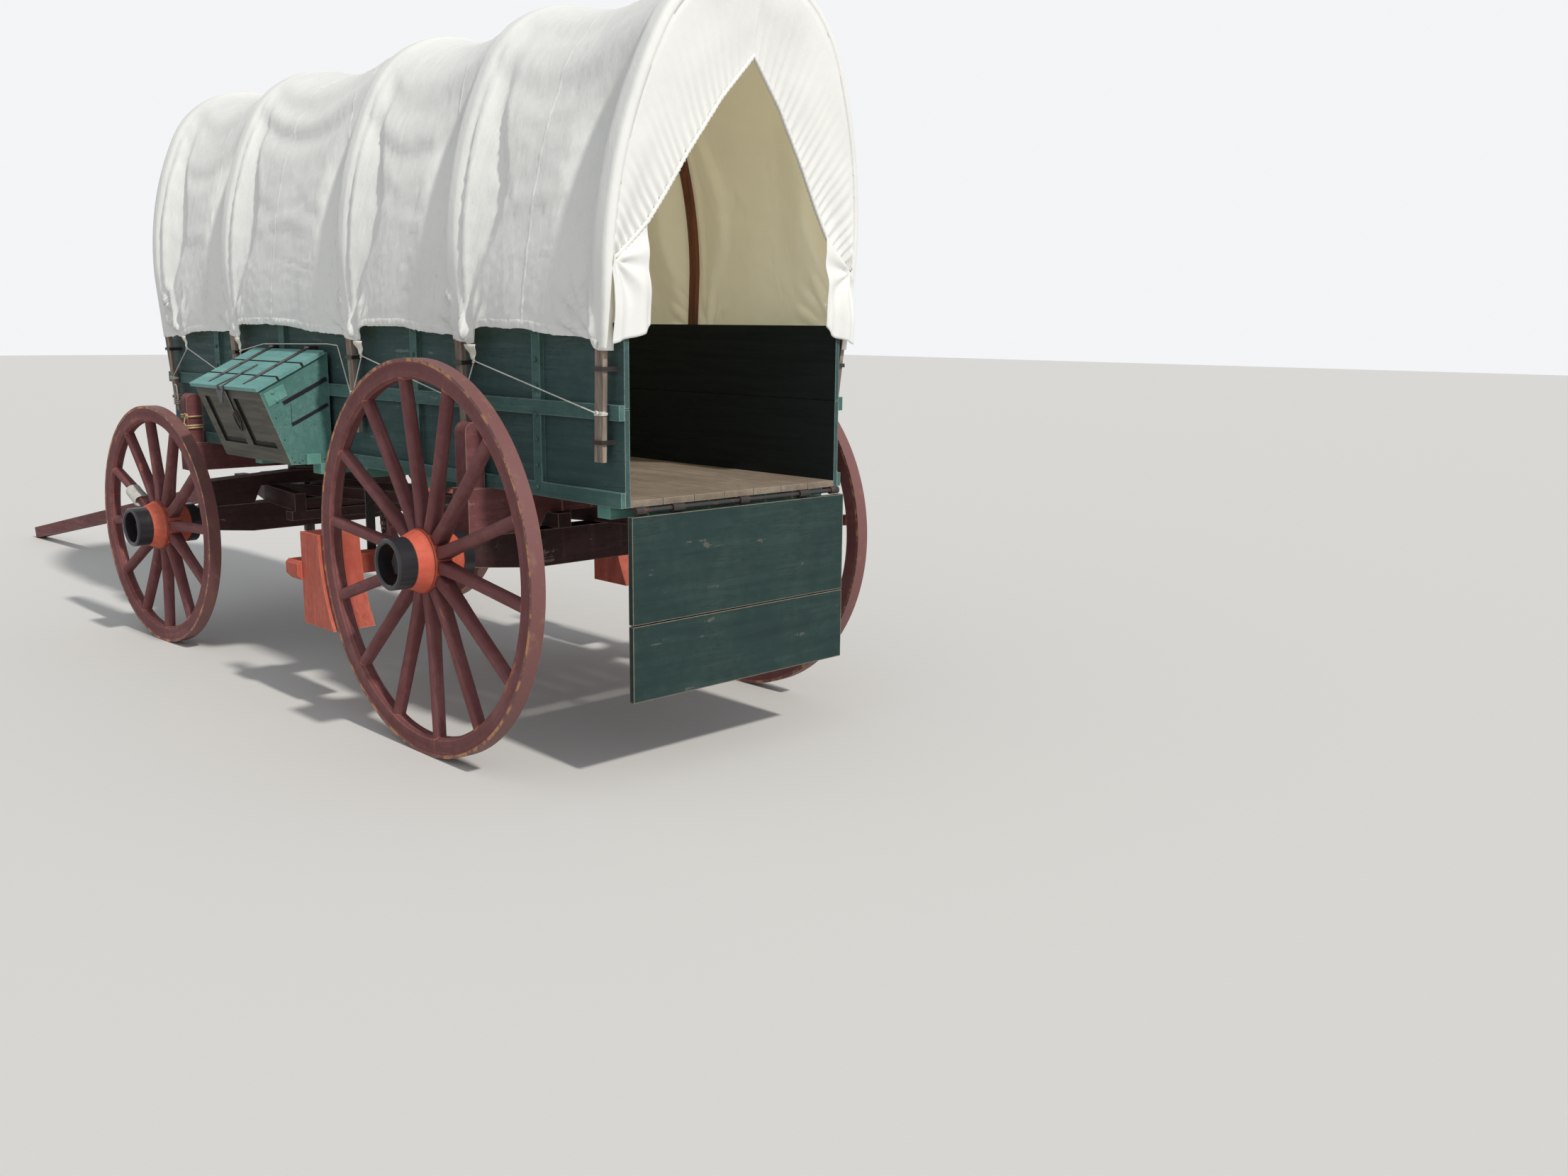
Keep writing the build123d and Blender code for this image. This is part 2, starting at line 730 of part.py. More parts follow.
def front_board():
    x = BOX_FRONT_X - FRONT_BOARD_SETBACK
    board = block((x - PANEL_T, x), (-BOX_IN_HALF, BOX_IN_HALF), (FLOOR_TOP, SIDE_TOP))
    for y in (-BOX_IN_HALF + FRONT_CLEAT_W, BOX_IN_HALF - FRONT_CLEAT_W):
        board += block(
            (x, x + PANEL_T), (y - FRONT_CLEAT_W / 2, y + FRONT_CLEAT_W / 2), (FLOOR_TOP, SIDE_TOP)
        )
    return board


def box():
    long = (BOX_REAR_X, BOX_FRONT_X)
    panel_y = (BOX_IN_HALF, PANEL_OUT_Y)
    lower = block(long, panel_y, (BOLSTER_TOP, LOWER_SIDE_TOP))
    upper = block(long, panel_y, (LOWER_SIDE_TOP + PANEL_SEAM, SIDE_TOP))
    write("floor", floor())
    write("cross_sills", cross_sills())
    write("side_lower_left", lower)
    write("side_lower_right", other_side(lower))
    write("side_upper_left", upper)
    write("side_upper_right", other_side(upper))
    write("side_frames", both_sides(side_frame()))
    write("front_board", front_board())


# Bows and cover


def arch_edges(out, foot_z, drop=0, inset=0):
    """The bows' outer line moved out by a distance: legs, long side arcs and a round top.

    Cloth between two bows hangs with its ridge lower by drop and its sides in by inset.
    """
    half = ARCH_HALF - inset
    top_r = ARCH_TOP_R - inset / 2
    top_z = ARCH_TOP_Z - drop - top_r
    rise = top_z - ARCH_SPRING_Z
    side_r = (half**2 + rise**2 - top_r**2) / (2 * (half - top_r))
    side_y = half - side_r
    turn = math.atan2(rise, -side_y)
    slope = (ARCH_HALF - BOW_FOOT_Y) / (ARCH_SPRING_Z - BOW_FOOT_Z)
    foot_y = BOW_FOOT_Y + slope * (foot_z - BOW_FOOT_Z) + out

    def on_side(angle):
        radius = side_r + out
        return (side_y + radius * math.cos(angle), ARCH_SPRING_Z + radius * math.sin(angle))

    spring, middle, join = on_side(0), on_side(turn / 2), on_side(turn)

    def flipped(point):
        return (-point[0], point[1])

    return [
        Line((foot_y, foot_z), spring),
        ThreePointArc(spring, middle, join),
        ThreePointArc(join, (0, top_z + top_r + out), flipped(join)),
        ThreePointArc(flipped(join), flipped(middle), flipped(spring)),
        Line(flipped(spring), (-foot_y, foot_z)),
    ]


def band_face(inner, outer, foot_z, drop=0, inset=0):
    """The face between two offsets of the arch, with Y and Z drawn as X and Y."""
    out_edges = arch_edges(outer, foot_z, drop, inset)
    in_edges = arch_edges(inner, foot_z, drop, inset)
    left = Line(out_edges[0] @ 0, in_edges[0] @ 0)
    right = Line(out_edges[-1] @ 1, in_edges[-1] @ 1)
    return make_face(out_edges + in_edges + [left, right])


def arch_band(inner, outer, foot_z, x):
    """The band between two offsets of the arch, carried along X."""
    face = Plane.YZ * band_face(inner, outer, foot_z)
    return Pos(x[0], 0, 0) * extrude(face, x[1] - x[0])


def arch_room(out, foot_z, x):
    """The whole room under an offset of the arch, carried along X."""
    edges = arch_edges(out, foot_z)
    sill = Line(edges[-1] @ 1, edges[0] @ 0)
    face = Plane.YZ * make_face(edges + [sill])
    return Pos(x[0], 0, 0) * extrude(face, x[1] - x[0])


def leaning_slab(foot_x, lean, ahead, low, high):
    """A slab across the wagon that follows a bow's lean, from ahead[0] to ahead[1] of it."""
    return along(
        [
            (foot_x + ahead[0] + lean * (low - BOW_FOOT_Z), low),
            (foot_x + ahead[1] + lean * (low - BOW_FOOT_Z), low),
            (foot_x + ahead[1] + lean * (high - BOW_FOOT_Z), high),
            (foot_x + ahead[0] + lean * (high - BOW_FOOT_Z), high),
        ],
        ARCH_HALF + 10 * COVER_T,
    )


def bows():
    made = []
    above = ARCH_TOP_Z + COVER_T
    for x, lean in BOWS:
        reach_x = abs(lean) * (above - BOW_FOOT_Z) + BOW_W
        band = arch_band(-BOW_T, 0, BOW_FOOT_Z, (x - reach_x, x + reach_x))
        made.append(band & leaning_slab(x, lean, (-BOW_W / 2, BOW_W / 2), BOW_FOOT_Z, above))
    return made


def bow_staples():
    """Iron staples that hold each bow's legs against the box."""
    slope = (ARCH_HALF - BOW_FOOT_Y) / (ARCH_SPRING_Z - BOW_FOOT_Z)
    staples = []
    for x, lean in BOWS:
        for z in STAPLE_ZS:
            at_x = x + lean * (z - BOW_FOOT_Z)
            bow_y = BOW_FOOT_Y + slope * (z - BOW_FOOT_Z)
            half = BOW_W / 2 + 1
            height = (z - STAPLE_H / 2, z + STAPLE_H / 2)
            outer = block(
                (at_x - half - STAPLE_T, at_x + half + STAPLE_T),
                (PANEL_OUT_Y, bow_y + 1 + STAPLE_T),
                height,
            )
            outer -= block((at_x - half, at_x + half), (PANEL_OUT_Y, bow_y + 1), height)
            staples += both_sides(outer)
    return staples


def cover_stations():
    """Places along the cover: foot, lean, and the sag of its ridge and of its sides there."""
    first_x, first_lean = BOWS[0]
    stations = [(first_x - COVER_HANG, first_lean, 0, 0)]
    for (x, lean), (next_x, next_lean) in zip(BOWS, BOWS[1:]):
        long = next_x - x
        for ahead, sag in [
            (CREST_HALF, (0, 0)),
            (CREASE_AHEAD, CREASE_SAG),
            (long / 2, MIDDLE_SAG),
            (long - CREASE_BEHIND, BEHIND_SAG),
            (long - CREST_HALF, (0, 0)),
        ]:
            stations.append((x + ahead, lean + (next_lean - lean) * ahead / long, *sag))
    last_x, last_lean = BOWS[-1]
    stations.append((last_x + COVER_HANG, last_lean, 0, 0))
    return stations


def leaning(face, x, lean):
    """A face drawn across the wagon, moved to a place along it and leant forward."""
    across_face = Pos(x - lean * BOW_FOOT_Z, 0, 0) * (Plane.YZ * face)
    lean_matrix = Matrix([[1, 0, lean, 0], [0, 1, 0, 0], [0, 0, 1, 0]])
    return across_face.transform_geometry(lean_matrix)


def cover():
    """The cloth over the bows: it sags between them, and its hem rises between its ties."""
    feet = [x + lean * (HEM_Z - BOW_FOOT_Z) for x, lean in BOWS]
    rear_x = feet[0] - COVER_HANG
    front_x = feet[-1] + COVER_HANG
    ties = [foot - behind for foot, behind in zip(feet, TIES_BEHIND)]
    ties[0] = rear_x
    top = ARCH_TOP_Z + 10 * COVER_T
    outline = []
    for start, end in zip(ties[:-2], ties[1:-1]):
        high = (end - HEM_STEP, HEM_Z + HEM_RISE)
        middle = ((start + high[0]) / 2, HEM_Z + 0.8 * HEM_RISE)
        outline.append(ThreePointArc((start, HEM_Z), middle, high))
        outline.append(Line(high, (end, HEM_Z)))
    start, end = ties[-2:]
    middle = ((start + end) / 2, HEM_Z + HEM_RISE / 2)
    outline.append(ThreePointArc((start, HEM_Z), middle, (end, HEM_Z)))
    rear_top = (rear_x + BOWS[0][1] * (top - HEM_Z), top)
    front_top = (front_x + BOWS[-1][1] * (top - HEM_Z), top)
    outline += [
        Line((end, HEM_Z), (front_x, HEM_Z)),
        Line((front_x, HEM_Z), front_top),
        Line(front_top, rear_top),
        Line(rear_top, (rear_x, HEM_Z)),
    ]
    side_view = extrude(Plane.XZ * make_face(outline), ARCH_HALF + 10 * COVER_T, both=True)
    sections = []
    for x, lean, drop, inset in cover_stations():
        face = band_face(COVER_GAP, COVER_GAP + COVER_T, HEM_Z - BOW_T, drop, inset)
        sections.append(leaning(face, x, lean))
    return loft(sections, ruled=True) & side_view


def end_wall(bow, ahead, hole):
    """A cloth end just outside a bow and above the sides, with its opening."""
    x, lean = bow
    low = SIDE_TOP + PANEL_SEAM
    top = ARCH_TOP_Z + COVER_T
    reach_x = abs(lean) * (top - BOW_FOOT_Z) + 2 * COVER_HANG
    room = arch_room(COVER_GAP, low, (x - reach_x, x + reach_x))
    wall = room & leaning_slab(x, lean, ahead, low, top)
    opening = Pos(x - reach_x, 0, 0) * extrude(Plane.YZ * hole, 2 * reach_x)
    return wall - opening


def cover_ends():
    front_hole = Pos(0, (FRONT_HOLE_LOW + FRONT_HOLE_TOP) / 2) * RectangleRounded(
        2 * FRONT_HOLE_HALF, FRONT_HOLE_TOP - FRONT_HOLE_LOW, FRONT_HOLE_HALF - 10
    )
    front_face = BOW_W / 2 + 1
    front = end_wall(BOWS[-1], (front_face, front_face + END_T), front_hole)
    low_edge = [(CURTAIN_EDGE[-1][0], HEM_Z - BOW_T)]
    left_edge = CURTAIN_EDGE + low_edge
    right_edge = [(-y, z) for y, z in reversed(left_edge)]
    rear_hole = make_face(Polyline((0, CURTAIN_TOP_Z), *left_edge, *right_edge, close=True))
    rear = end_wall(BOWS[0], (-front_face - END_T, -front_face), rear_hole)
    return front, rear


def covering():
    front, rear = cover_ends()
    write("bows", bows())
    write("bow_staples", bow_staples())
    write("cover", cover())
    write("cover_front_end", front)
    write("cover_rear_curtains", rear)


# Tailgate


def tailgate():
    """Two boards on battens, hanging down behind the box."""
    rear_x = GATE_HINGE_X - GATE_EYE_R + 1
    back = (rear_x, rear_x + GATE_T)
    top = GATE_HINGE_Z - GATE_TOP_GAP
    split = top - GATE_LOWER_H
    bottom = split - GATE_SEAM - GATE_UPPER_H
    gate = block(back, (-PANEL_OUT_Y, PANEL_OUT_Y), (split, top))
    gate += block(back, (-PANEL_OUT_Y, PANEL_OUT_Y), (bottom, split - GATE_SEAM))
    for y in (-GATE_BATTEN_Y, 0, GATE_BATTEN_Y):
        gate += block(
            (back[1], back[1] + GATE_BATTEN_T),
            (y - GATE_BATTEN_W / 2, y + GATE_BATTEN_W / 2),
            (bottom + GATE_BATTEN_T, top - GATE_BATTEN_T),
        )
    return gate


def tailgate_straps():
    face_x = GATE_HINGE_X - GATE_EYE_R + 1 + GATE_T
    knuckle = across_bar(GATE_EYE_R, (-GATE_STRAP_W / 2, GATE_STRAP_W / 2))
    knuckle = Pos(GATE_HINGE_X, GATE_STRAP_Y, GATE_HINGE_Z) * knuckle
    strap = block(
        (face_x, face_x + GATE_STRAP_T),
        (GATE_STRAP_Y - GATE_STRAP_W / 2, GATE_STRAP_Y + GATE_STRAP_W / 2),
        (GATE_HINGE_Z - GATE_STRAP_L, GATE_HINGE_Z),
    )
    bore = across_bar(GATE_ROD_R + RUN_FIT, (-GATE_EYE_Y, GATE_EYE_Y))
    bore = Pos(GATE_HINGE_X, 0, GATE_HINGE_Z) * bore
    return both_sides(knuckle + strap - bore)


def tailgate_rod():
    rod = across_bar(GATE_ROD_R, (-GATE_EYE_Y, GATE_EYE_Y))
    eye = across_bar(GATE_EYE_R, (-GATE_EYE_W / 2, GATE_EYE_W / 2))
    rod = Pos(GATE_HINGE_X, 0, GATE_HINGE_Z) * rod
    for y in (-GATE_EYE_Y, 0, GATE_EYE_Y):
        rod += Pos(GATE_HINGE_X, y, GATE_HINGE_Z) * eye
        rod += block(
            (GATE_HINGE_X, BOX_REAR_X + GATE_PLATE_L),
            (y - GATE_EYE_W / 2, y + GATE_EYE_W / 2),
            (BOLSTER_TOP - GATE_PLATE_T, BOLSTER_TOP),
        )
    return rod


def tail():
    write("tailgate_rod", tailgate_rod())
    write("tailgate", tailgate())
    write("tailgate_straps", tailgate_straps())


# Toolbox, with its lid sloping down and outward


def chest_outline():
    return [
        (RAIL_OUT_Y, BOLSTER_TOP),
        (CHEST_FOOT_Y, BOLSTER_TOP),
        (CHEST_LIP_Y, CHEST_LIP_Z),
        (RAIL_OUT_Y, CHEST_TOP_Z),
    ]


def lid_slope():
    return math.atan2(CHEST_TOP_Z - CHEST_LIP_Z, CHEST_LIP_Y - RAIL_OUT_Y)


def on_lid(shape):
    """Places a shape drawn with Y down the lid's slope and Z out of it."""
    return Pos(CHEST_REAR_X, RAIL_OUT_Y, CHEST_TOP_Z) * Rot(-math.degrees(lid_slope()), 0, 0) * shape


def face_panels():
    """Two shallow panels sunk in the toolbox's outer face, between its stiles and rails."""
    lean = math.atan2(CHEST_LIP_Y - CHEST_FOOT_Y, CHEST_LIP_Z - BOLSTER_TOP)
    long = math.hypot(CHEST_LIP_Y - CHEST_FOOT_Y, CHEST_LIP_Z - BOLSTER_TOP)
    panel_l = (CHEST_L - 3 * FACE_STILE) / 2
    at_foot = Pos(0, CHEST_FOOT_Y, BOLSTER_TOP) * Rot(-math.degrees(lean), 0, 0)
    panels = []
    for index in range(2):
        start = CHEST_REAR_X + FACE_STILE + index * (panel_l + FACE_STILE)
        sunk = block(
            (start, start + panel_l), (-FACE_DEEP, FACE_DEEP), (FACE_RAIL[1], long - FACE_RAIL[0])
        )
        panels.append(at_foot * sunk)
    return panels


def toolbox():
    outer = across(chest_outline(), (CHEST_REAR_X, CHEST_REAR_X + CHEST_L))
    section = make_face(Polyline(*chest_outline(), close=True))
    room_face = offset(section, -CHEST_WALL, kind=Kind.INTERSECTION)
    room = Pos(CHEST_REAR_X + CHEST_WALL, 0, 0) * extrude(
        Plane.YZ * room_face, CHEST_L - 2 * CHEST_WALL
    )
    slope = lid_slope()
    lift = Pos(0, 3 * CHEST_WALL * math.sin(slope), 3 * CHEST_WALL * math.cos(slope))
    return outer - room - lift * room - face_panels()


def lid_length():
    return math.hypot(CHEST_LIP_Y - RAIL_OUT_Y, CHEST_TOP_Z - CHEST_LIP_Z)


def toolbox_lid():
    long = lid_length() + LID_OVER
    start = LID_SETBACK + LID_KNUCKLE_R + LID_KNUCKLE_GAP
    lid = block((-LID_OVER, CHEST_L + LID_OVER), (start, long), (LID_GAP, LID_GAP + LID_T))
    for share in LID_GROOVES:
        lid -= block(
            (-2 * LID_OVER, CHEST_L + 2 * LID_OVER),
            (share * long, share * long + LID_GROOVE_W),
            (LID_GAP + LID_T - LID_GROOVE_D, LID_GAP + 2 * LID_T),
        )
    return on_lid(lid)


def lid_hinge_at(x):
    return Pos(x, LID_SETBACK, LID_GAP + LID_T) * Rot(0, 90, 0)


def lid_hinges():
    hinges = []
    for x in LID_STRAP_XS:
        top = LID_GAP + LID_T
        strap = block(
            (x - LID_STRAP_W / 2, x + LID_STRAP_W / 2),
            (LID_SETBACK, LID_SETBACK + LID_STRAP_L),
            (top, top + LID_STRAP_T),
        )
        ring = lid_hinge_at(x) * Cylinder(LID_KNUCKLE_R, LID_STRAP_W)
        bore = lid_hinge_at(x) * Cylinder(LID_PIN_R + RUN_FIT, 2 * LID_STRAP_W)
        hinges.append(on_lid(strap + ring - bore))
    return hinges


def toolbox_irons():
    """Hinge pins held out from the side by a pair of ears each."""
    slope = lid_slope()
    pin_y = RAIL_OUT_Y + LID_SETBACK * math.cos(slope) + (LID_GAP + LID_T) * math.sin(slope)
    pin_z = CHEST_TOP_Z - LID_SETBACK * math.sin(slope) + (LID_GAP + LID_T) * math.cos(slope)
    ear_x = LID_STRAP_W / 2 + 1 + EAR_T / 2
    irons = []
    for x in LID_STRAP_XS:
        iron = Rot(0, 90, 0) * Cylinder(LID_PIN_R, 2 * ear_x + EAR_T)
        for side in (-ear_x, ear_x):
            iron += Pos(side, 0, 0) * Rot(0, 90, 0) * Cylinder(EAR_R, EAR_T)
            iron += block(
                (side - EAR_T / 2, side + EAR_T / 2), (PANEL_OUT_Y - pin_y, 0), (-EAR_R, EAR_R)
            )
        irons.append(Pos(CHEST_REAR_X + x, pin_y, pin_z) * iron)
    return irons


def chest():
    write("toolbox", toolbox())
    write("toolbox_irons", toolbox_irons())
    write("toolbox_lid", toolbox_lid())
    write("lid_hinges", lid_hinges())


# Brake


def brake_beam():
    """The beam under the wagon with a hollow-faced block ahead of each rear wheel."""
    low, high = BEAM_Z
    outline = [
        (-BEAM_HALF, low + BEAM_CUT),
        (-BEAM_HALF + BEAM_CUT, low),
        (BEAM_HALF - BEAM_CUT, low),
        (BEAM_HALF, low + BEAM_CUT),
        (BEAM_HALF, high - BEAM_CUT / 2),
        (BEAM_HALF - BEAM_CUT / 2, high),
        (-BEAM_HALF + BEAM_CUT / 2, high),
        (-BEAM_HALF, high - BEAM_CUT / 2),
    ]
    beam = across(outline, (SHOE_FRONT_X, SHOE_FRONT_X + BEAM_D))
    shoe = block((REAR_R / 2, SHOE_FRONT_X), SHOE_Y, SHOE_Z)
    wheel_room = Pos(0, 0, REAR_R) * across_bar(REAR_R + BRAKE_GAP, (0, 2 * GAUGE_Y))
    shoe -= wheel_room
    return beam + shoe + other_side(shoe)


def brake_irons():
    sill_x = CROSS_SILLS[2][0] + SILL_W / 2
    hanger = block(
        (sill_x, sill_x + HANGER_T),
        (HANGER_Y - HANGER_W / 2, HANGER_Y + HANGER_W / 2),
        (BEAM_Z[1], BOLSTER_TOP),
    )
    lever = Box(LEVER_W, LEVER_T, LEVER_TOP_Z - LEVER_FOOT_Z)
    lever = Pos(0, 0, (LEVER_TOP_Z + LEVER_FOOT_Z) / 2 - LEVER_PIVOT_Z) * lever
    lever = Pos(LEVER_X, -LEVER_Y, LEVER_PIVOT_Z) * Rot(0, LEVER_LEAN, 0) * lever
    pivot = block(
        (LEVER_X - LEVER_W / 2, LEVER_X + LEVER_W / 2),
        (-LEVER_Y, -PANEL_OUT_Y - SILL_STRIP_T),
        (LEVER_PIVOT_Z - LEVER_W / 2, BOLSTER_TOP + SILL_STRIP_H),
    )
    lean = math.tan(math.radians(LEVER_LEAN))
    ratchet_x = LEVER_X + lean * (RATCHET_Z - LEVER_PIVOT_Z)
    ratchet = block(
        (ratchet_x - 2 * LEVER_W, ratchet_x + 3 * LEVER_W),
        (-LEVER_Y, -RAIL_OUT_Y),
        (RATCHET_Z - LEVER_T, RATCHET_Z),
    )
    beam_front = SHOE_FRONT_X + BEAM_D
    beam_z = (BEAM_Z[0] + BEAM_Z[1]) / 2
    plate = block(
        (beam_front, beam_front + ROD_PLATE_T),
        (-LEVER_Y - LEVER_W / 2, -LEVER_Y + LEVER_W / 2),
        (beam_z - LEVER_W / 2, beam_z + LEVER_W / 2),
    )
    start = Vector(beam_front + ROD_PLATE_T / 2, -LEVER_Y, beam_z)
    foot_x = LEVER_X - lean * (LEVER_PIVOT_Z - LEVER_FOOT_Z)
    end = Vector(foot_x, -LEVER_Y, LEVER_FOOT_Z + LEVER_W / 2)
    rod = Plane(start, z_dir=end - start) * Pos(0, 0, (end - start).length / 2)
    rod = rod * Cylinder(ROD_R, (end - start).length)
    return both_sides(hanger) + [lever + pivot + ratchet + rod + plate]


def brake():
    write("brake_beam", brake_beam())
    write("brake_irons", brake_irons())


def main():
    os.makedirs(OUT, exist_ok=True)
    wheels()
    front_gear()
    tongue()
    rear_gear()
    box()
    covering()
    tail()
    chest()
    brake()
    print("middle", round(MIDDLE_X, 3), "reach slope", round(REACH_SLOPE, 3))
    print("tongue drop", round(TONGUE_DROP, 3))


main()
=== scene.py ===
# %% [markdown]
# # A covered wagon, dressed for a studio picture
# The frame of the wagon comes from its CAD model: timbers, wheels, box, bows and irons at their
# real size. This lesson gives those pieces their paint, rust and weather, and makes what is soft
# or small: the canvas cover, its cords, rope lashings, bolts and the toolbox's trim.
# Everything is in metres, with +X forward, +Y to the wagon's left and the ground at zero.

# %% Load the frame
import math
import random

import bmesh
import bpy
from mathutils import Matrix, Vector, noise


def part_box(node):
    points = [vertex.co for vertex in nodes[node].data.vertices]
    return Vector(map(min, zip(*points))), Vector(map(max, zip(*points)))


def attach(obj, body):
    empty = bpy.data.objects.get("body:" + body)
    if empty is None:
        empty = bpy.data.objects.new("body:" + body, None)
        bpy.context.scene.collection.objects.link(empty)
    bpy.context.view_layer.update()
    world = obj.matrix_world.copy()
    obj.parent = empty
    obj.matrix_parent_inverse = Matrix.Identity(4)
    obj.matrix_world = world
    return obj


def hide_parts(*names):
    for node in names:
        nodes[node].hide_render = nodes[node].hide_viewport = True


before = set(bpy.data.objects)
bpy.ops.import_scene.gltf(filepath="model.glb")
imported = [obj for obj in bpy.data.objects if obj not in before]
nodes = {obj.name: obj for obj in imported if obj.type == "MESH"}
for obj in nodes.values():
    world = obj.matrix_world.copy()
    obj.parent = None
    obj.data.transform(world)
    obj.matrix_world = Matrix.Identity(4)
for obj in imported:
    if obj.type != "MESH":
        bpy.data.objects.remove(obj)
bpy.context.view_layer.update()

# %% [markdown]
# The rear axle is the place that everything else is measured from, so a length "along" below is
# a distance ahead of it. Its place in the frame is the middle of the rear wheels' tyres.


# %% Places that the frame gives
def box_middle(node):
    """Middle of a CAD node at rest."""
    low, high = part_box(node)
    return (Vector(low) + Vector(high)) / 2


REAR_AXLE = box_middle("rear_left_tyre")
FRONT_AXLE = (box_middle("front_left_tyre") + box_middle("front_right_tyre")) / 2
STEER = math.radians(3.0)
SIDES = ((1, "left"), (-1, "right"))


def place(along, left, up):
    """A point given by its distance ahead of the rear axle, to the left and above the ground."""
    return Vector((REAR_AXLE.x + along, left, up))


def linked(name, data):
    """A new object that stands in the scene."""
    thing = bpy.data.objects.new(name, data)
    bpy.context.scene.collection.objects.link(thing)
    return thing


def new_piece(name, points, faces):
    mesh = bpy.data.meshes.new(name)
    mesh.from_pydata(points, [], faces)
    return linked(name, mesh)


print("rear axle x", round(REAR_AXLE.x, 4), "front axle x", round(FRONT_AXLE.x, 4))

# %% [markdown]
# The camera stands behind the wagon and to its left, at a grown person's eye height. Its lens and
# place come from the ellipses that the wheels make in the photograph. A camera looks along its
# own -Z, so it is turned from its heading and its dip, with a small roll.

# %% Camera
CAMERA_PLACE = (-4.2316, 3.1988, 1.5306)
LOOK = Vector((0.69343, -0.69533, -0.18886))
CAMERA_RIGHT = Vector((-0.70650, -0.70762, 0.01122))
SENSOR = 36.0
LENS = 30.898


def stand_camera():
    """The photograph's camera."""
    data = bpy.data.cameras.new("camera")
    data.lens = LENS
    data.sensor_width = SENSOR
    data.clip_end = 200
    camera = linked("camera", data)
    look = LOOK.normalized()
    right = (CAMERA_RIGHT - CAMERA_RIGHT.dot(look) * look).normalized()
    turn = Matrix((right, right.cross(look), -look)).transposed()
    camera.matrix_world = Matrix.Translation(place(*CAMERA_PLACE)) @ turn.to_4x4()
    bpy.context.scene.camera = camera


stand_camera()
print("lens", LENS, "mm")

# %% [markdown]
# A finish is a small network of shader nodes. Written out by hand, each sum would take five lines,
# so one small class stands for an output socket and turns Python's operators into Math nodes. A
# second class holds the nodes and makes any of them from its type, settings and inputs. A third
# adds the material with its Principled shader.


# %% Shader arithmetic
class Wire:
    """An output socket of a shader node, which can be used in sums."""

    def __init__(self, network, socket):
        self.network = network
        self.socket = socket

    def math(self, operation, first, second=None):
        inputs = {0: first} if second is None else {0: first, 1: second}
        return self.network.node("ShaderNodeMath", {"operation": operation}, inputs)

    def __add__(self, other):
        return self.math("ADD", self, other)

    __radd__ = __add__

    def __mul__(self, other):
        return self.math("MULTIPLY", self, other)

    def __sub__(self, other):
        return self.math("SUBTRACT", self, other)

    def __rsub__(self, other):
        return self.math("SUBTRACT", other, self)

    def over(self, other):
        return self.math("GREATER_THAN", self, other)

    def top(self, other):
        return self.math("MAXIMUM", self, other)

    def power(self, other):
        return self.math("POWER", self, other)

    def also(self, output):
        """Another output of the same node."""
        return Wire(self.network, self.socket.node.outputs[output])


class Network:
    """Shader nodes under construction."""

    def __init__(self, tree):
        self.tree = tree

    def feed(self, socket, value):
        if isinstance(value, Wire):
            self.tree.links.new(value.socket, socket)
        elif isinstance(value, (tuple, list)) and len(value) == 3 and socket.type == "RGBA":
            socket.default_value = (*value, 1)
        else:
            socket.default_value = value

    def node(self, kind, settings, inputs, output=0):
        made = self.tree.nodes.new(kind)
        for name, value in settings.items():
            setattr(made, name, value)
        for name, value in inputs.items():
            self.feed(made.inputs[name], value)
        return Wire(self, made.outputs[output])

    def dot(self, first, second):
        settings = {"operation": "DOT_PRODUCT"}
        return self.node("ShaderNodeVectorMath", settings, {0: first, 1: second}, "Value")


class Finish(Network):
    """A material under construction, with one Principled shader."""

    def __init__(self, name):
        self.material = bpy.data.materials.new(name)
        self.material.use_nodes = True
        super().__init__(self.material.node_tree)
        self.shader = self.tree.nodes["Principled BSDF"]

    def position(self):
        """Where a point of the piece lies at rest, in metres."""
        return self.node("ShaderNodeTexCoord", {}, {}, "Object")

    def normal(self):
        return self.node("ShaderNodeNewGeometry", {}, {}, "Normal")

    def parts(self, vector):
        """The x, y and z of a vector."""
        first = self.node("ShaderNodeSeparateXYZ", {}, {0: vector})
        return first, first.also(1), first.also(2)

    def stretched(self, vector, scale):
        settings = {"operation": "MULTIPLY"}
        return self.node("ShaderNodeVectorMath", settings, {0: vector, 1: scale})

    def noise(self, vector, scale, detail=4.0, rough=0.55):
        inputs = {"Vector": vector, "Scale": scale, "Detail": detail, "Roughness": rough}
        return self.node("ShaderNodeTexNoise", {}, inputs)

    def step(self, value, low, high):
        """0 below low, 1 above high, and a smooth rise between them."""
        inputs = {"Value": value, "From Min": low, "From Max": high}
        settings = {"interpolation_type": "SMOOTHSTEP", "clamp": True}
        return self.node("ShaderNodeMapRange", settings, inputs)

    def mixed(self, share, first, second):
        settings = {"data_type": "RGBA", "clamp_factor": True}
        return self.node("ShaderNodeMix", settings, {0: share, 6: first, 7: second}, 2)

    def worn_edge(self, width):
        """Near 1 along sharp edges of the piece, 0 on its faces."""
        soft = self.node("ShaderNodeBevel", {"samples": 4}, {"Radius": width})
        return 1 - self.dot(soft, self.normal())

    def bump(self, height, depth, strength=1.0, under=None):
        inputs = {"Height": height, "Distance": depth, "Strength": strength}
        if under:
            inputs["Normal"] = under
        return self.node("ShaderNodeBump", {}, inputs)

    def finish(self, colour, rough, bump=None, **others):
        """Feeds the shader. others names more of its inputs, such as Metallic."""
        inputs = {"Base Color": colour, "Roughness": rough, **others}
        if bump:
            inputs["Normal"] = bump
        for name, value in inputs.items():
            self.feed(self.shader.inputs[name], value)
        return self.material


print("node helpers ready")

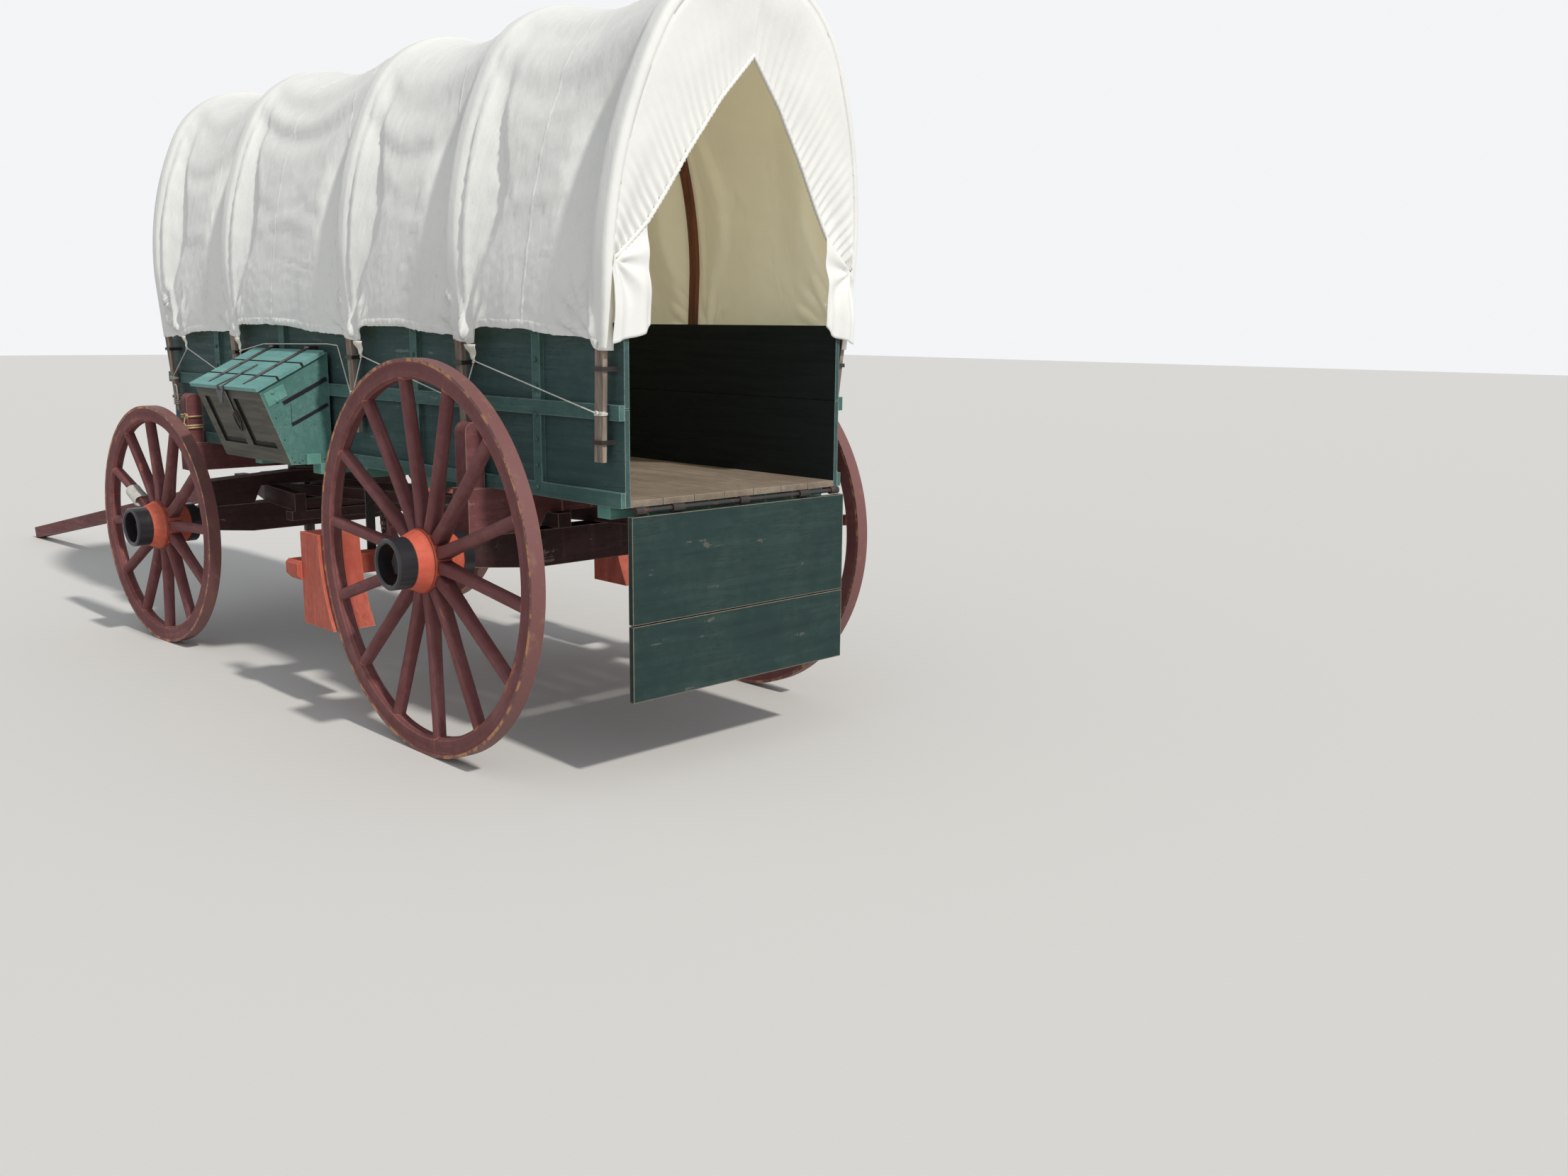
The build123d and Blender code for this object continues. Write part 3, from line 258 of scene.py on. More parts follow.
# %% [markdown]
# A studio has a pale floor and soft light. One lamp behind the wagon stands for the sun: it only
# grazes the side, so that of each fold of the cover just the flank that turns to the rear is lit.
# A wide pale sky fills the shade, brighter behind the camera than ahead of the wagon. Only what
# the camera or a gloss sees of the sky is nearly white, because a brighter sky would wash out
# the canvas.

# %% Floor and lights
FLOOR_HALF = 60.0
FLOOR_TONE = (0.62, 0.61, 0.59)
FLOOR_ROUGH = 0.9
SKY_TONE = (0.90, 0.91, 0.93)
SKY_FILL = (0.92, 0.96, 1.0)
SKY_LIGHT = 0.44
SKY_SIDE = Vector((-0.75, 0.55, 0.35)).normalized()
SKY_LEAN = 0.85
SUN_STRENGTH = 2.7
SUN_SPREAD = 3.0
SUN_TONE = (1.0, 0.965, 0.91)
SUN_FROM = Vector((-0.72, 0.02, 0.68))


def lay_floor():
    half = FLOOR_HALF
    corners = [(-half, -half, 0), (half, -half, 0), (half, half, 0), (-half, half, 0)]
    floor = new_piece("studio_floor", corners, [(0, 1, 2, 3)])
    floor.data.materials.append(Finish("studio_floor").finish(FLOOR_TONE, FLOOR_ROUGH))


def light_sky():
    world = bpy.data.worlds.new("studio_sky")
    bpy.context.scene.world = world
    world.use_nodes = True
    world.node_tree.nodes.clear()
    sky = Network(world.node_tree)
    path = sky.node("ShaderNodeLightPath", {}, {}, "Is Camera Ray")
    seen = path.top(path.also("Is Transmission Ray")).top(path.also("Is Glossy Ray"))
    toward = sky.dot(sky.node("ShaderNodeTexCoord", {}, {}, "Generated"), SKY_SIDE)
    inputs = {0: toward, 1: SKY_LIGHT * SKY_LEAN, 2: SKY_LIGHT}
    brighter = sky.node("ShaderNodeMath", {"operation": "MULTIPLY_ADD"}, inputs)
    fill = sky.node("ShaderNodeBackground", {}, {"Color": SKY_FILL, "Strength": brighter})
    pale = sky.node("ShaderNodeBackground", {}, {"Color": SKY_TONE, "Strength": 1.0})
    mix = sky.node("ShaderNodeMixShader", {}, {0: seen, 1: fill, 2: pale})
    sky.feed(sky.tree.nodes.new("ShaderNodeOutputWorld").inputs["Surface"], mix)


def hang_sun():
    data = bpy.data.lights.new("sun_lamp", "SUN")
    data.energy = SUN_STRENGTH
    data.angle = math.radians(SUN_SPREAD)
    data.color = SUN_TONE
    lamp = linked("sun_lamp", data)
    lamp.rotation_euler = (-SUN_FROM).to_track_quat("-Z", "Y").to_euler()


lay_floor()
light_sky()
hang_sun()
bpy.context.scene.view_settings.view_transform = "Standard"
print("lights", [light.name for light in bpy.data.lights])

# %% [markdown]
# Old paint on a wagon is never one colour. It fades in large patches, it chalks, it wears to bare
# wood or primer along the edges that hands and boots rub, and it cracks along the grain. Where
# the grain runs matters: along a timber, and outward along a spoke. A function makes each paint
# from its colours and from a vector that is stretched along the grain.

# %% Painted wood
ACROSS_GRAIN = 38.0
ALONG_GRAIN = 2.2
OLD_GLOSS = 0.22


def grain_along(axis):
    """Position squeezed so that noise makes long streaks along one axis."""
    squeeze = tuple(ALONG_GRAIN if name == axis else ACROSS_GRAIN for name in "xyz")
    return lambda finish: finish.stretched(finish.position(), squeeze)


def grain_round(centre, outward):
    """Streaks that run out from a wheel's middle, or round it."""

    def vector(finish):
        x, y, z = finish.parts(finish.position())
        x = x - centre.x
        z = z - centre.z
        reach = (x * x + z * z).power(0.5)
        turn = x.math("ARCTAN2", z, x)
        scales = (2.5, 14.0) if outward else (ACROSS_GRAIN, 1.3)
        inputs = {0: reach * scales[0], 1: turn * scales[1], 2: y * ACROSS_GRAIN}
        return finish.node("ShaderNodeCombineXYZ", {}, inputs)

    return vector


def darker(tone, share):
    return tuple(share * value for value in tone)


def painted(name, tones, worn, grain, chips=0.5, gloss=0.62, others=(), cracks=0.3):
    """Old paint on wood. tones holds the paint as new and faded, and grain is a function that
    gives the vector along the grain. others holds pairs of a second colour and the function
    that says where it shows."""
    tone, faded = tones
    f = Finish(name)
    at = f.position()
    streaks = f.noise(grain(f), 1.0, 6.0, 0.6)
    patches = f.noise(at, 3.1, 3.0)
    mottle = f.noise(at, 26.0, 5.0, 0.65)
    fade = f.step(patches * 0.75 + mottle * 0.45, 0.46, 0.80)
    colour = f.mixed(fade * 0.85, tone, faded)
    shade = f.step(streaks, 0.30, 0.62)
    colour = f.mixed((1 - shade) * 0.35, colour, darker(tone, 0.62))
    rub = f.step(f.worn_edge(0.006) + mottle * 0.22, 0.16, 0.27)
    flakes = f.step(streaks * 0.55 + f.noise(at, 9.0, 6.0, 0.7) * 0.6, 0.70, 0.735)
    bare = rub.top(flakes * chips)
    colour = f.mixed(bare, colour, worn)
    far = streaks - 0.5
    split = 1 - f.step(far.math("ABSOLUTE", far), 0.003, 0.010)
    split = split * f.step(patches, 0.46, 0.56)
    colour = f.mixed(split * cracks, colour, darker(tone, 0.25))
    for second, where in others:
        board = f.mixed(f.step(streaks, 0.30, 0.65), darker(second, 0.7), second)
        colour = f.mixed(where(f), colour, board)
    rough = gloss + (1 - shade) * 0.12 + bare * 0.15
    ridge = f.bump(streaks, 0.0012, 0.55)
    relief = f.bump(bare * -1.0 - split * 0.7, 0.0008, 0.8, ridge)
    return f.finish(colour, rough, relief, **{"Specular IOR Level": OLD_GLOSS})


def facing(side):
    """A function that tells where a finish faces the left, with side 1, or the right."""
    return lambda finish: (finish.parts(finish.normal())[1] * side).over(0.6)


def dress(material, *names):
    """Gives CAD nodes their finish."""
    for name in names:
        nodes[name].data.materials.clear()
        nodes[name].data.materials.append(material)


# Each paint as new, and faded
MAROON = (0.148, 0.050, 0.051), (0.222, 0.092, 0.093)
# Painted shade: the running gear's maroon, darkened to the shade under the wagon
MAROON_IN_SHADE = (0.040, 0.018, 0.018), (0.080, 0.038, 0.037)
ORANGE_RED = (0.545, 0.105, 0.062), (0.640, 0.185, 0.120)
BRAKE_RED = (0.430, 0.085, 0.058), (0.540, 0.150, 0.105)
TEAL = (0.105, 0.265, 0.222), (0.165, 0.350, 0.300)
CHEST_TEAL = (0.066, 0.168, 0.148), (0.104, 0.222, 0.200)
LID_TEAL = (0.122, 0.292, 0.276), (0.190, 0.380, 0.364)
# Painted shade: the box sides' teal, darkened to the shade under the cover
TEAL_IN_SHADE = (0.034, 0.070, 0.070), (0.055, 0.100, 0.098)
# Painted shade: the rails' and front board's teal, darkened to the shade under the cover
RAIL_TEAL_IN_SHADE = (0.050, 0.110, 0.102), (0.085, 0.165, 0.150)
# Painted shade: the tailgate's green, darkened to the shade it stands in
GATE_GREEN_IN_SHADE = (0.014, 0.033, 0.031), (0.027, 0.052, 0.048)
FLOOR_BOARD = (0.20, 0.155, 0.115), (0.30, 0.25, 0.20)
# What shows where a paint is worn away, the unpainted boards, and painted shade
WORN_ORANGE = (0.560, 0.195, 0.100)
BARE_WOOD = (0.330, 0.265, 0.205)
TEAL_WORN = (0.215, 0.300, 0.265)
# Partly painted shade: the toolbox face's grey board, darkened for the shade it stands in
GREY_BOARD_IN_SHADE = (0.105, 0.098, 0.080)
# Painted shade: near black for the shade inside the box
BOX_INSIDE_SHADE = (0.010, 0.016, 0.017)

along_x, along_y, along_z = [grain_along(axis) for axis in "xyz"]
ENDS = {"front": FRONT_AXLE, "rear": REAR_AXLE}
WHEELS = [f"{end}_{side_name}" for end in ENDS for side, side_name in SIDES]
for end, centre in ENDS.items():
    for part, outward, chips in (("spoke", True, 0.35), ("felloe", False, 0.45)):
        wood = grain_round(centre, outward)
        paint = painted(f"{end}_{part}_paint", MAROON, WORN_ORANGE, wood, chips)
        dress(paint, *[f"{end}_{side_name}_{part}s" for side, side_name in SIDES])
for side, side_name in SIDES:
    # Painted shade: the inner faces of the side boards get near black, for the shade inside the
    # box
    painted_inside_shade = [(BOX_INSIDE_SHADE, facing(-side))]
    boards = f"side_lower_{side_name}", f"side_upper_{side_name}"
    name = f"{side_name}_paint"
    dress(painted(name, TEAL_IN_SHADE, TEAL_WORN, along_x, 0.4, others=painted_inside_shade), *boards)
red_end = MAROON_IN_SHADE[0]
hub_paint = painted("hub_paint", ORANGE_RED, red_end, along_y, 0.25, 0.55, cracks=0.9)
dress(hub_paint, *[f"{wheel}_hub" for wheel in WHEELS])
gear_paint = painted("gear_paint", MAROON_IN_SHADE, BARE_WOOD, along_y)
dress(gear_paint, "front_axle", "sand_board", "rear_axle")
long_gear_paint = painted("long_gear_paint", MAROON_IN_SHADE, BARE_WOOD, along_x)
dress(long_gear_paint, "reach", "rear_hounds", "front_hounds")
dress(painted("bolster_paint", MAROON, BARE_WOOD, along_y), "front_bolster", "rear_bolster")
dress(painted("tongue_paint", MAROON, BARE_WOOD, along_x, 0.7), "tongue")
dress(painted("brake_paint", BRAKE_RED, WORN_ORANGE, along_z, 0.3, 0.6), "brake_beam")
dress(painted("front_paint", RAIL_TEAL_IN_SHADE, TEAL_WORN, along_y, 0.4), "front_board")
rail_paint = painted("rail_paint", RAIL_TEAL_IN_SHADE, TEAL_WORN, along_x, 0.4)
dress(rail_paint, "side_frames")
dress(painted("sill_paint", TEAL, TEAL_WORN, along_y), "cross_sills")
dress(painted("gate_paint", GATE_GREEN_IN_SHADE, BARE_WOOD, along_y, 0.2), "tailgate")
dress(painted("floor_finish", FLOOR_BOARD, BARE_WOOD, along_x, 0.4, 0.8), "floor")
chest_paint = painted("chest_paint", TEAL, TEAL_WORN, along_x, 0.3)
print("painted nodes", len([name for name in nodes if nodes[name].data.materials]))

# %% [markdown]
# The bows were steamed from ash and oiled a red-brown. Below the canvas their legs stand in sun
# and rain, so they have gone grey. The height of a point tells which of the two it shows.

# %% Bow wood
BOW_RED = (0.235, 0.072, 0.032)
BOW_DARK = (0.120, 0.038, 0.020)
BOW_GREY = (0.300, 0.245, 0.195)
BOW_GREY_DARK = (0.150, 0.115, 0.092)
GREY_UP = 1.46
GREY_FADE = 0.12


def bow_wood():
    f = Finish("bow_wood")
    at = f.position()
    streaks = f.noise(f.stretched(at, (45.0, 45.0, 3.0)), 1.0, 6.0, 0.65)
    height = f.parts(at)[2]
    outdoors = 1 - f.step(height + f.noise(at, 14.0) * 0.08, GREY_UP, GREY_UP + GREY_FADE)
    dark = f.step(streaks, 0.35, 0.62)
    oiled = f.mixed(dark, BOW_RED, BOW_DARK)
    grey = f.mixed(dark, BOW_GREY, BOW_GREY_DARK)
    colour = f.mixed(outdoors, oiled, grey)
    return f.finish(colour, 0.5 + outdoors * 0.3, f.bump(streaks, 0.0015, 0.6))


dress(bow_wood(), "bows")

# %% [markdown]
# Three irons are on the wagon. Hub bands and hinges are painted black and still have some gloss,
# and axle arms and pins are dark and greasy. The tyres were painted with the wheel, and on their
# sides the paint is rubbed through to an orange brown.


# %% Iron
def iron(name, tone, rust, rust_share, rough=0.42, metal=0.0, rubbed=None):
    f = Finish(name)
    at = f.position()
    spots = f.noise(at, 22.0, 8.0, 0.7)
    pits = f.noise(at, 120.0, 3.0)
    edges = spots + f.worn_edge(0.004) * 0.5
    rusty = f.step(edges, 0.66 - 0.22 * rust_share, 0.74 - 0.12 * rust_share)
    colour = f.mixed(rusty * 0.8, tone, rust)
    if rubbed:
        side = f.parts(f.normal())[1]
        across = side.math("ABSOLUTE", side)
        colour = f.mixed(across.over(0.6) * f.step(spots, 0.46, 0.60), colour, rubbed)
    relief = f.bump(spots * 0.6 + pits * 0.4, 0.0007, 0.5)
    return f.finish(colour, rough + rusty * 0.35, relief, Metallic=metal)


RUST = (0.150, 0.062, 0.032)
RED_RUST = (0.200, 0.105, 0.075)
BLACK = (0.018, 0.018, 0.021)
BLACK_WORN = (0.070, 0.058, 0.052)
GREASE = (0.030, 0.027, 0.027)
TYRE_PAINT = (0.150, 0.058, 0.055)
TYRE_RUBBED = (0.480, 0.235, 0.110)
black_iron = iron("black_iron", BLACK, BLACK_WORN, 0.15, 0.30)
dark_iron = iron("dark_iron", GREASE, RUST, 0.5, 0.45, 0.3)
tyre_iron = iron("tyre_iron", TYRE_PAINT, RED_RUST, 0.6, 0.55, rubbed=TYRE_RUBBED)
dress(black_iron, "lid_hinges", *[f"{wheel}_hub_bands" for wheel in WHEELS])
dress(dark_iron, "front_axle_arms", "rear_axle_arms", "kingpin", "tongue_pin", "bow_staples")
dress(dark_iron, "tailgate_rod", "tailgate_straps", "toolbox_irons", "brake_irons")
dress(tyre_iron, *[f"{wheel}_tyre" for wheel in WHEELS])
print("irons", black_iron.name, dark_iron.name, tyre_iron.name)

# %% [markdown]
# ## The canvas cover
# The cover is one wide sheet of cotton duck thrown over five bows. It is tied down only at the
# bows, so it sags a hand's depth between them, hangs in swags below the ridge, and gathers into
# sharp folds above each tie. Drawing such folds by hand looks stiff, so the sheet is simulated:
# it starts close to its final shape, but its cloth is cut a little too large, held along the bows
# and at the ties, and it finds its own folds under its weight.
# First comes the shape of a bow: a leg, a long side arc and a round top.

# %% The bows' arch
ARCH_HALF = 0.575
SPRING_UP = 1.750
TOP_UP = 2.690
TOP_R = 0.460
FOOT_LEFT = 0.545
FOOT_UP = 1.100
BOW_T = 0.018
BOW_W = 0.042
# Bows: foot place along the wagon, lean forward per unit of height
BOWS = [(-0.730, -0.094), (0.065, 0.0), (0.880, 0.0), (1.980, 0.0), (2.720, 0.094)]
HEM_UP = 1.458
HEM_RISE = 0.064
HEM_STEP = 0.045
# Ties: how far each one stands behind its bow
TIES_BEHIND = [0.0, 0.090, 0.090, 0.070, 0.200]
FEET = [foot for foot, lean in BOWS]
TIES = [foot - behind for foot, behind in zip(FEET, TIES_BEHIND)]

SIDE_RISE = TOP_UP - TOP_R - SPRING_UP
SIDE_R = (ARCH_HALF**2 + SIDE_RISE**2 - TOP_R**2) / (2 * (ARCH_HALF - TOP_R))
SIDE_LEFT = ARCH_HALF - SIDE_R
JOIN_TURN = math.atan2(SIDE_RISE, -SIDE_LEFT)
LEG_SLOPE = (ARCH_HALF - FOOT_LEFT) / (SPRING_UP - FOOT_UP)


def arc_lengths(out):
    """Lengths of the top arc and of a side arc, for cloth that lies out from the bow."""
    return (TOP_R + out) * (math.pi / 2 - JOIN_TURN), (SIDE_R + out) * JOIN_TURN


def arch_point(reach, out):
    """Left and up of a point at a distance from the ridge, measured along the arch."""
    left_over = abs(reach)
    top_long, side_long = arc_lengths(out)
    if left_over <= top_long:
        angle = math.pi / 2 - left_over / (TOP_R + out)
        left = (TOP_R + out) * math.cos(angle)
        up = TOP_UP - TOP_R + (TOP_R + out) * math.sin(angle)
    elif left_over <= top_long + side_long:
        angle = JOIN_TURN - (left_over - top_long) / (SIDE_R + out)
        left = SIDE_LEFT + (SIDE_R + out) * math.cos(angle)
        up = SPRING_UP + (SIDE_R + out) * math.sin(angle)
    else:
        down = left_over - top_long - side_long
        left = ARCH_HALF + out - down * LEG_SLOPE
        up = SPRING_UP - down
    return side_of(reach) * left, up


def reach_at(up, out):
    """Distance from the ridge to a height on the legs."""
    top_long, side_long = arc_lengths(out)
    return top_long + side_long + SPRING_UP - up


def side_of(value):
    return 1 if value >= 0 else -1


def between(low, high, share):
    return low + (high - low) * share


def wobble(x, y, z):
    """Smooth chance, from about -1 to 1, that is the same at each run."""
    return noise.noise(Vector((x, y, z)))


def smooth(low, high, value):
    """0 below low, 1 above high, with a smooth rise."""
    share = min(max((value - low) / (high - low), 0.0), 1.0)
    return share * share * (3 - 2 * share)


# %% [markdown]
# The sheet is a grid. Its columns stand closer together at the bows, where the folds are sharp,
# and its rows closer together at the hem. The folds that the photograph shows are seeded as
# outward and inward pushes: a leaf-shaped valley ahead of each bow with a crease along it, swags
# that hang from bow to bow, and a fan of small folds over each tie.

# %% The sheet's grid
CLOTH_OUT = 0.0035
HALF_REACH = reach_at(HEM_UP, CLOTH_OUT)
END_HANG = 0.022
ROLL_R = 0.014
ROLL_PAST = 0.020
CLOTH_T = 0.0022
COLUMN_FINE = 0.0125
COLUMN_WIDE = 0.027
FINE_HALF = 0.34
ROW_WIDE = 0.029
ROW_FINE = 0.0135
HEM_ZONE = 0.28
TIE_HALF = 0.060
GATHER_HALF = 0.230
GATHER_HIGH = 0.42
GATHER_KEEP = 0.70
RIDGE_SAG = 0.062
SIDE_SAG = 0.022


def steps(start, end, fine, wide, zone):
    """Places from start to end, closer together near both."""
    places = [start]
    while places[-1] < end:
        near = min(places[-1] - start, end - places[-1])
        size = fine if near < zone else wide
        places.append(places[-1] + size)
    scale = (end - start) / (places[-1] - start)
    return [start + (spot - start) * scale for spot in places]


def sheet_columns():
    """Places along the wagon, bay by bay, with the ends that roll round the end bows."""
    roll = END_HANG + ROLL_R * math.pi / 2 + ROLL_PAST
    edges = [FEET[0] - roll] + FEET + [FEET[-1] + roll]
    columns = []
    for start, end in zip(edges, edges[1:]):
        long = end - start
        if long < 2 * FINE_HALF:
            count = max(1, round(long / COLUMN_FINE))
            columns += [start + long * step / count for step in range(count)]
        else:
            columns += steps(start, end, COLUMN_FINE, COLUMN_WIDE, FINE_HALF)[:-1]
    columns.append(edges[-1])
    return columns


def lean_at(along):
    """The lean of the cloth at a place, between the leans of the bows on each side."""
    if along <= BOWS[0][0]:
        return BOWS[0][1]
    for (foot, lean), (next_foot, next_lean) in zip(BOWS, BOWS[1:]):
        if along <= next_foot:
            return between(lean, next_lean, (along - foot) / (next_foot - foot))
    return BOWS[-1][1]


def bay_share(along):
    """How far a place is across its bay, from 0 to 1, or 0 past the end bows."""
    for (foot, lean), (next_foot, next_lean) in zip(BOWS, BOWS[1:]):
        if foot <= along <= next_foot:
            return (along - foot) / (next_foot - foot)
    return 0.0


FOLD_DEEP = 0.098
CREST_HALF = 0.016
FRONT_WIDE = (0.028, 0.120)
REAR_WIDE = (0.020, 0.130)
REAR_SHARE = 0.66
PLEAT_WIDE = 0.046
# Swags, bay by bay from the rear: reach of the ends from the ridge, how far the middle hangs
# below them, width, strength
SWAGS = [
    [(0.20, 0.10, 0.050, 0.7), (0.42, 0.20, 0.036, 0.5)],
    [(0.36, 0.16, 0.046, 0.7), (0.50, 0.22, 0.036, 0.7)],
    [(0.24, 0.16, 0.046, 0.8), (0.38, 0.26, 0.036, 1.0)],
    [(0.28, 0.14, 0.040, 0.7), (0.44, 0.24, 0.036, 0.6)],
]
SWAG_OUT = 0.0085
# Drag folds over each tie: angle from level, start and length along the fold, height, width
FRONT_FANS = [
    (29, 0.070, 0.20, 0.012, 0.016),
    (42, 0.055, 0.25, 0.015, 0.016),
    (54, 0.050, 0.28, 0.016, 0.016),
    (66, 0.050, 0.27, 0.014, 0.015),
]
REAR_FANS = [(106, 0.050, 0.17, 0.010, 0.014), (124, 0.050, 0.14, 0.008, 0.014)]
FAN_STRONG = 1.6


def bump_at(value, middle, width):
    return math.exp(-(((value - middle) / width) ** 2))


def flank(share):
    """From 0 at the crest to 1 at the crease: straight, with a round start and a sharp end."""
    share = min(max(share, 0.0), 1.0)
    return share * share * (1.6 - 0.6 * share) if share < 1 else 1.0


def bow_fold(ahead, up, strong):
    """The cloth falls away on each side of a bow's crest, in a wide leaf ahead of it.

    Behind the crest comes a small pleat, then a second crest with a long flank that the sun
    lights, and a short flank that comes out again to the next panel.
    """
    high = 1 - smooth(2.12, 2.56, up)
    away = abs(ahead) - CREST_HALF
    if away <= 0:
        return 0.0
    if ahead > 0:
        leaf = smooth(HEM_UP + 0.02, HEM_UP + 0.42, up) * high
        deep = FOLD_DEEP * strong * (0.16 + 0.84 * leaf) * (1 - smooth(2.25, 2.62, up))
        crease = between(*FRONT_WIDE, leaf)
        past = max(0.0, away - crease)
        return -deep * flank(away / crease) * (1 - 0.62 * smooth(0.0, 0.17, past))
    leaf = smooth(HEM_UP + 0.13, HEM_UP + 0.44, up) * (1 - 0.68 * smooth(1.98, 2.34, up))
    deep = FOLD_DEEP * strong * REAR_SHARE * (0.25 + 0.75 * leaf) * (1 - smooth(2.30, 2.62, up))
    if away < PLEAT_WIDE:
        return -0.32 * deep * math.sin(math.pi * away / PLEAT_WIDE)
    crease = between(*REAR_WIDE, leaf)
    share = min(1.0, (away - PLEAT_WIDE) / crease)
    past = max(0.0, away - PLEAT_WIDE - crease)
    return -deep * share * (1.3 - 0.3 * share) * (1 - 0.50 * smooth(0.0, 0.05, past))


def off_bow(along):
    """0 on a bow, where the cloth lies tight, and 1 a little way from it."""
    return smooth(CREST_HALF + 0.002, CREST_HALF + 0.040, abs(along - nearest(FEET, along)))


def fan_push(index, apart, over, side):
    """Sharp drag folds that run to a tie: each is a ridge with a groove under it."""
    if abs(apart) > 0.55 or over > 0.40:
        return 0.0
    push = 0.0
    for order, (level, start, long, height, width) in enumerate(FRONT_FANS + REAR_FANS):
        chance = wobble(index * 3.7 + 0.4, order * 2.3 + 0.2, side * 1.9)
        turn = math.radians(level + 6 * chance)
        along_fold = apart * math.cos(turn) + over * math.sin(turn)
        off_fold = over * math.cos(turn) - apart * math.sin(turn)
        off_fold += 0.12 * (along_fold - start) ** 2
        ends = smooth(start * 0.6, start + 0.04, along_fold)
        ends *= 1 - smooth(start + 0.6 * long, start + long, along_fold)
        if ends > 0:
            shape = bump_at(off_fold, 0.0, width) - 0.7 * bump_at(off_fold, -1.9 * width, width)
            strong = FAN_STRONG * height * (1 + 0.8 * chance)
            push += strong * ends * shape * smooth(0.012, 0.045, over)
    return push


def all_fans(along, up, side):
    over = up - HEM_UP + 0.01
    return sum(fan_push(index, along - tie, over, side) for index, tie in enumerate(TIES))


def nearest(places, along):
    return min(places, key=lambda spot: abs(along - spot))


def gathered(along, up):
    """Where a column of the sheet stands: near the hem it is drawn in to its tie."""
    tie = nearest(TIES, along)
    apart = abs(along - tie)
    low = (1 - smooth(HEM_UP, HEM_UP + GATHER_HIGH, up)) ** 1.6
    keep = between(1.0, GATHER_KEEP, low * (1 - smooth(TIE_HALF, GATHER_HALF, apart)))
    return tie + (along - tie) * keep


def hem_rise(along):
    """The hem steps up just behind a tie and falls slowly to the tie behind that."""
    if not TIES[0] < along < TIES[-1]:
        return 0.0
    index = max(index for index, tie in enumerate(TIES[:-1]) if tie <= along)
    after = TIES[index + 1]
    share = (along - TIES[index]) / (after - TIES[index])
    if index == len(TIES) - 2:
        return 0.5 * HEM_RISE * 4 * share * (1 - share)
    climb = math.sin(0.5 * math.pi * min(1.0, share * 1.25)) ** 0.9
    return HEM_RISE * climb * smooth(0.004, HEM_STEP, after - along)


def fold_push(along, stand, reach, up):
    """How far the seeded folds push a point of the sheet out."""
    share = bay_share(along)
    if share <= 0.0 or share >= 1.0:
        return 0.0
    bay = max(index for index, foot in enumerate(FEET[:-1]) if foot <= along)
    side = side_of(reach)
    rough = wobble(along * 1.7, reach * 1.3, 4.0 + side)
    ahead = along - FEET[bay]
    behind = along - FEET[bay + 1]
    strong = 1.0 + 0.5 * wobble(bay * 3.1 + 0.5, side * 2.7, 0.3)
    after = 1.0 + 0.5 * wobble(bay * 3.1 + 3.6, side * 2.7, 0.3)
    drift = 0.015 * wobble(bay * 5.0, side * 3.0, up * 2.2)
    first = bow_fold(ahead + drift * smooth(0, 0.1, ahead), up, strong)
    big = between(first, bow_fold(behind, up, after), smooth(0.25, 0.75, share))
    across = math.sin(math.pi * share)
    far = abs(reach)
    push = 0.0
    for index, (start, hang, width, weight) in enumerate(SWAGS[bay]):
        slant = 0.25 * wobble(bay * 2.3, side * 1.9, index * 3.7)
        dip = hang * (1 + 0.4 * wobble(bay * 7.3, side * 4.9, index * 1.7))
        middle = start + dip * across**0.9 + slant * (share - 0.5)
        fade = across**0.4 * min(1.3, max(0.0, 0.8 + 1.4 * rough))
        push += SWAG_OUT * weight * fade * bump_at(far, middle, 1.8 * width)
        push -= SWAG_OUT * weight * fade * bump_at(far, middle + 2.2 * width, 1.3 * width)
    soft = wobble(along * 6.5, reach * 1.2, 9.0 * side)
    push += 0.009 * soft * smooth(0.85, 1.3, far) * across
    push += 0.022 * smooth(1.35, 1.80, far) * across
    return (big + push + all_fans(along, up, side)) * off_bow(stand)


def rolled_point(along, row_share):
    """Past an end bow the sheet rolls round the bow's rim and turns in."""
    way, foot = (-1, FEET[0]) if along < FEET[0] else (1, FEET[-1])
    past = way * (along - foot)
    ahead, out = past, CLOTH_OUT
    if past > END_HANG:
        turn = min((past - END_HANG) / ROLL_R, math.pi / 2)
        ahead = END_HANG + ROLL_R * math.sin(turn)
        out -= ROLL_R * (1 - math.cos(turn))
        out -= max(0.0, past - END_HANG - ROLL_R * math.pi / 2)
    left, up = arch_point(row_share * reach_at(HEM_UP, out), out)
    return place(foot + way * ahead + lean_at(along) * (up - FOOT_UP), left, up)


def sheet_point(along, row_share):
    """Where a point of the sheet starts."""
    if not FEET[0] <= along <= FEET[-1]:
        return rolled_point(along, row_share)
    share = bay_share(along)
    reach = row_share * (HALF_REACH - hem_rise(along))
    down = abs(row_share)
    sag = between(RIDGE_SAG, SIDE_SAG, smooth(0.05, 0.6, down)) * (1 - smooth(0.8, 1, down))
    left, up = arch_point(reach, CLOTH_OUT)
    stand = gathered(along, up)
    outward = Vector((0.0, left, up - TOP_UP + TOP_R)).normalized()
    swell = math.sin(math.pi * share) * off_bow(stand)
    push = fold_push(along, stand, reach, up) - sag * swell
    left += outward.y * push
    up += outward.z * push
    return place(stand + lean_at(stand) * (up - FOOT_UP), left, up)


def sheet_rows():
    inner = HALF_REACH - HEM_ZONE
    wide_count = round(inner / ROW_WIDE)
    fine_count = round(HEM_ZONE / ROW_FINE)
    one_side = [inner * step / wide_count for step in range(wide_count)]
    one_side += [inner + HEM_ZONE * step / fine_count for step in range(fine_count + 1)]
    return [spot / HALF_REACH for spot in [-back for back in reversed(one_side[1:])] + one_side]


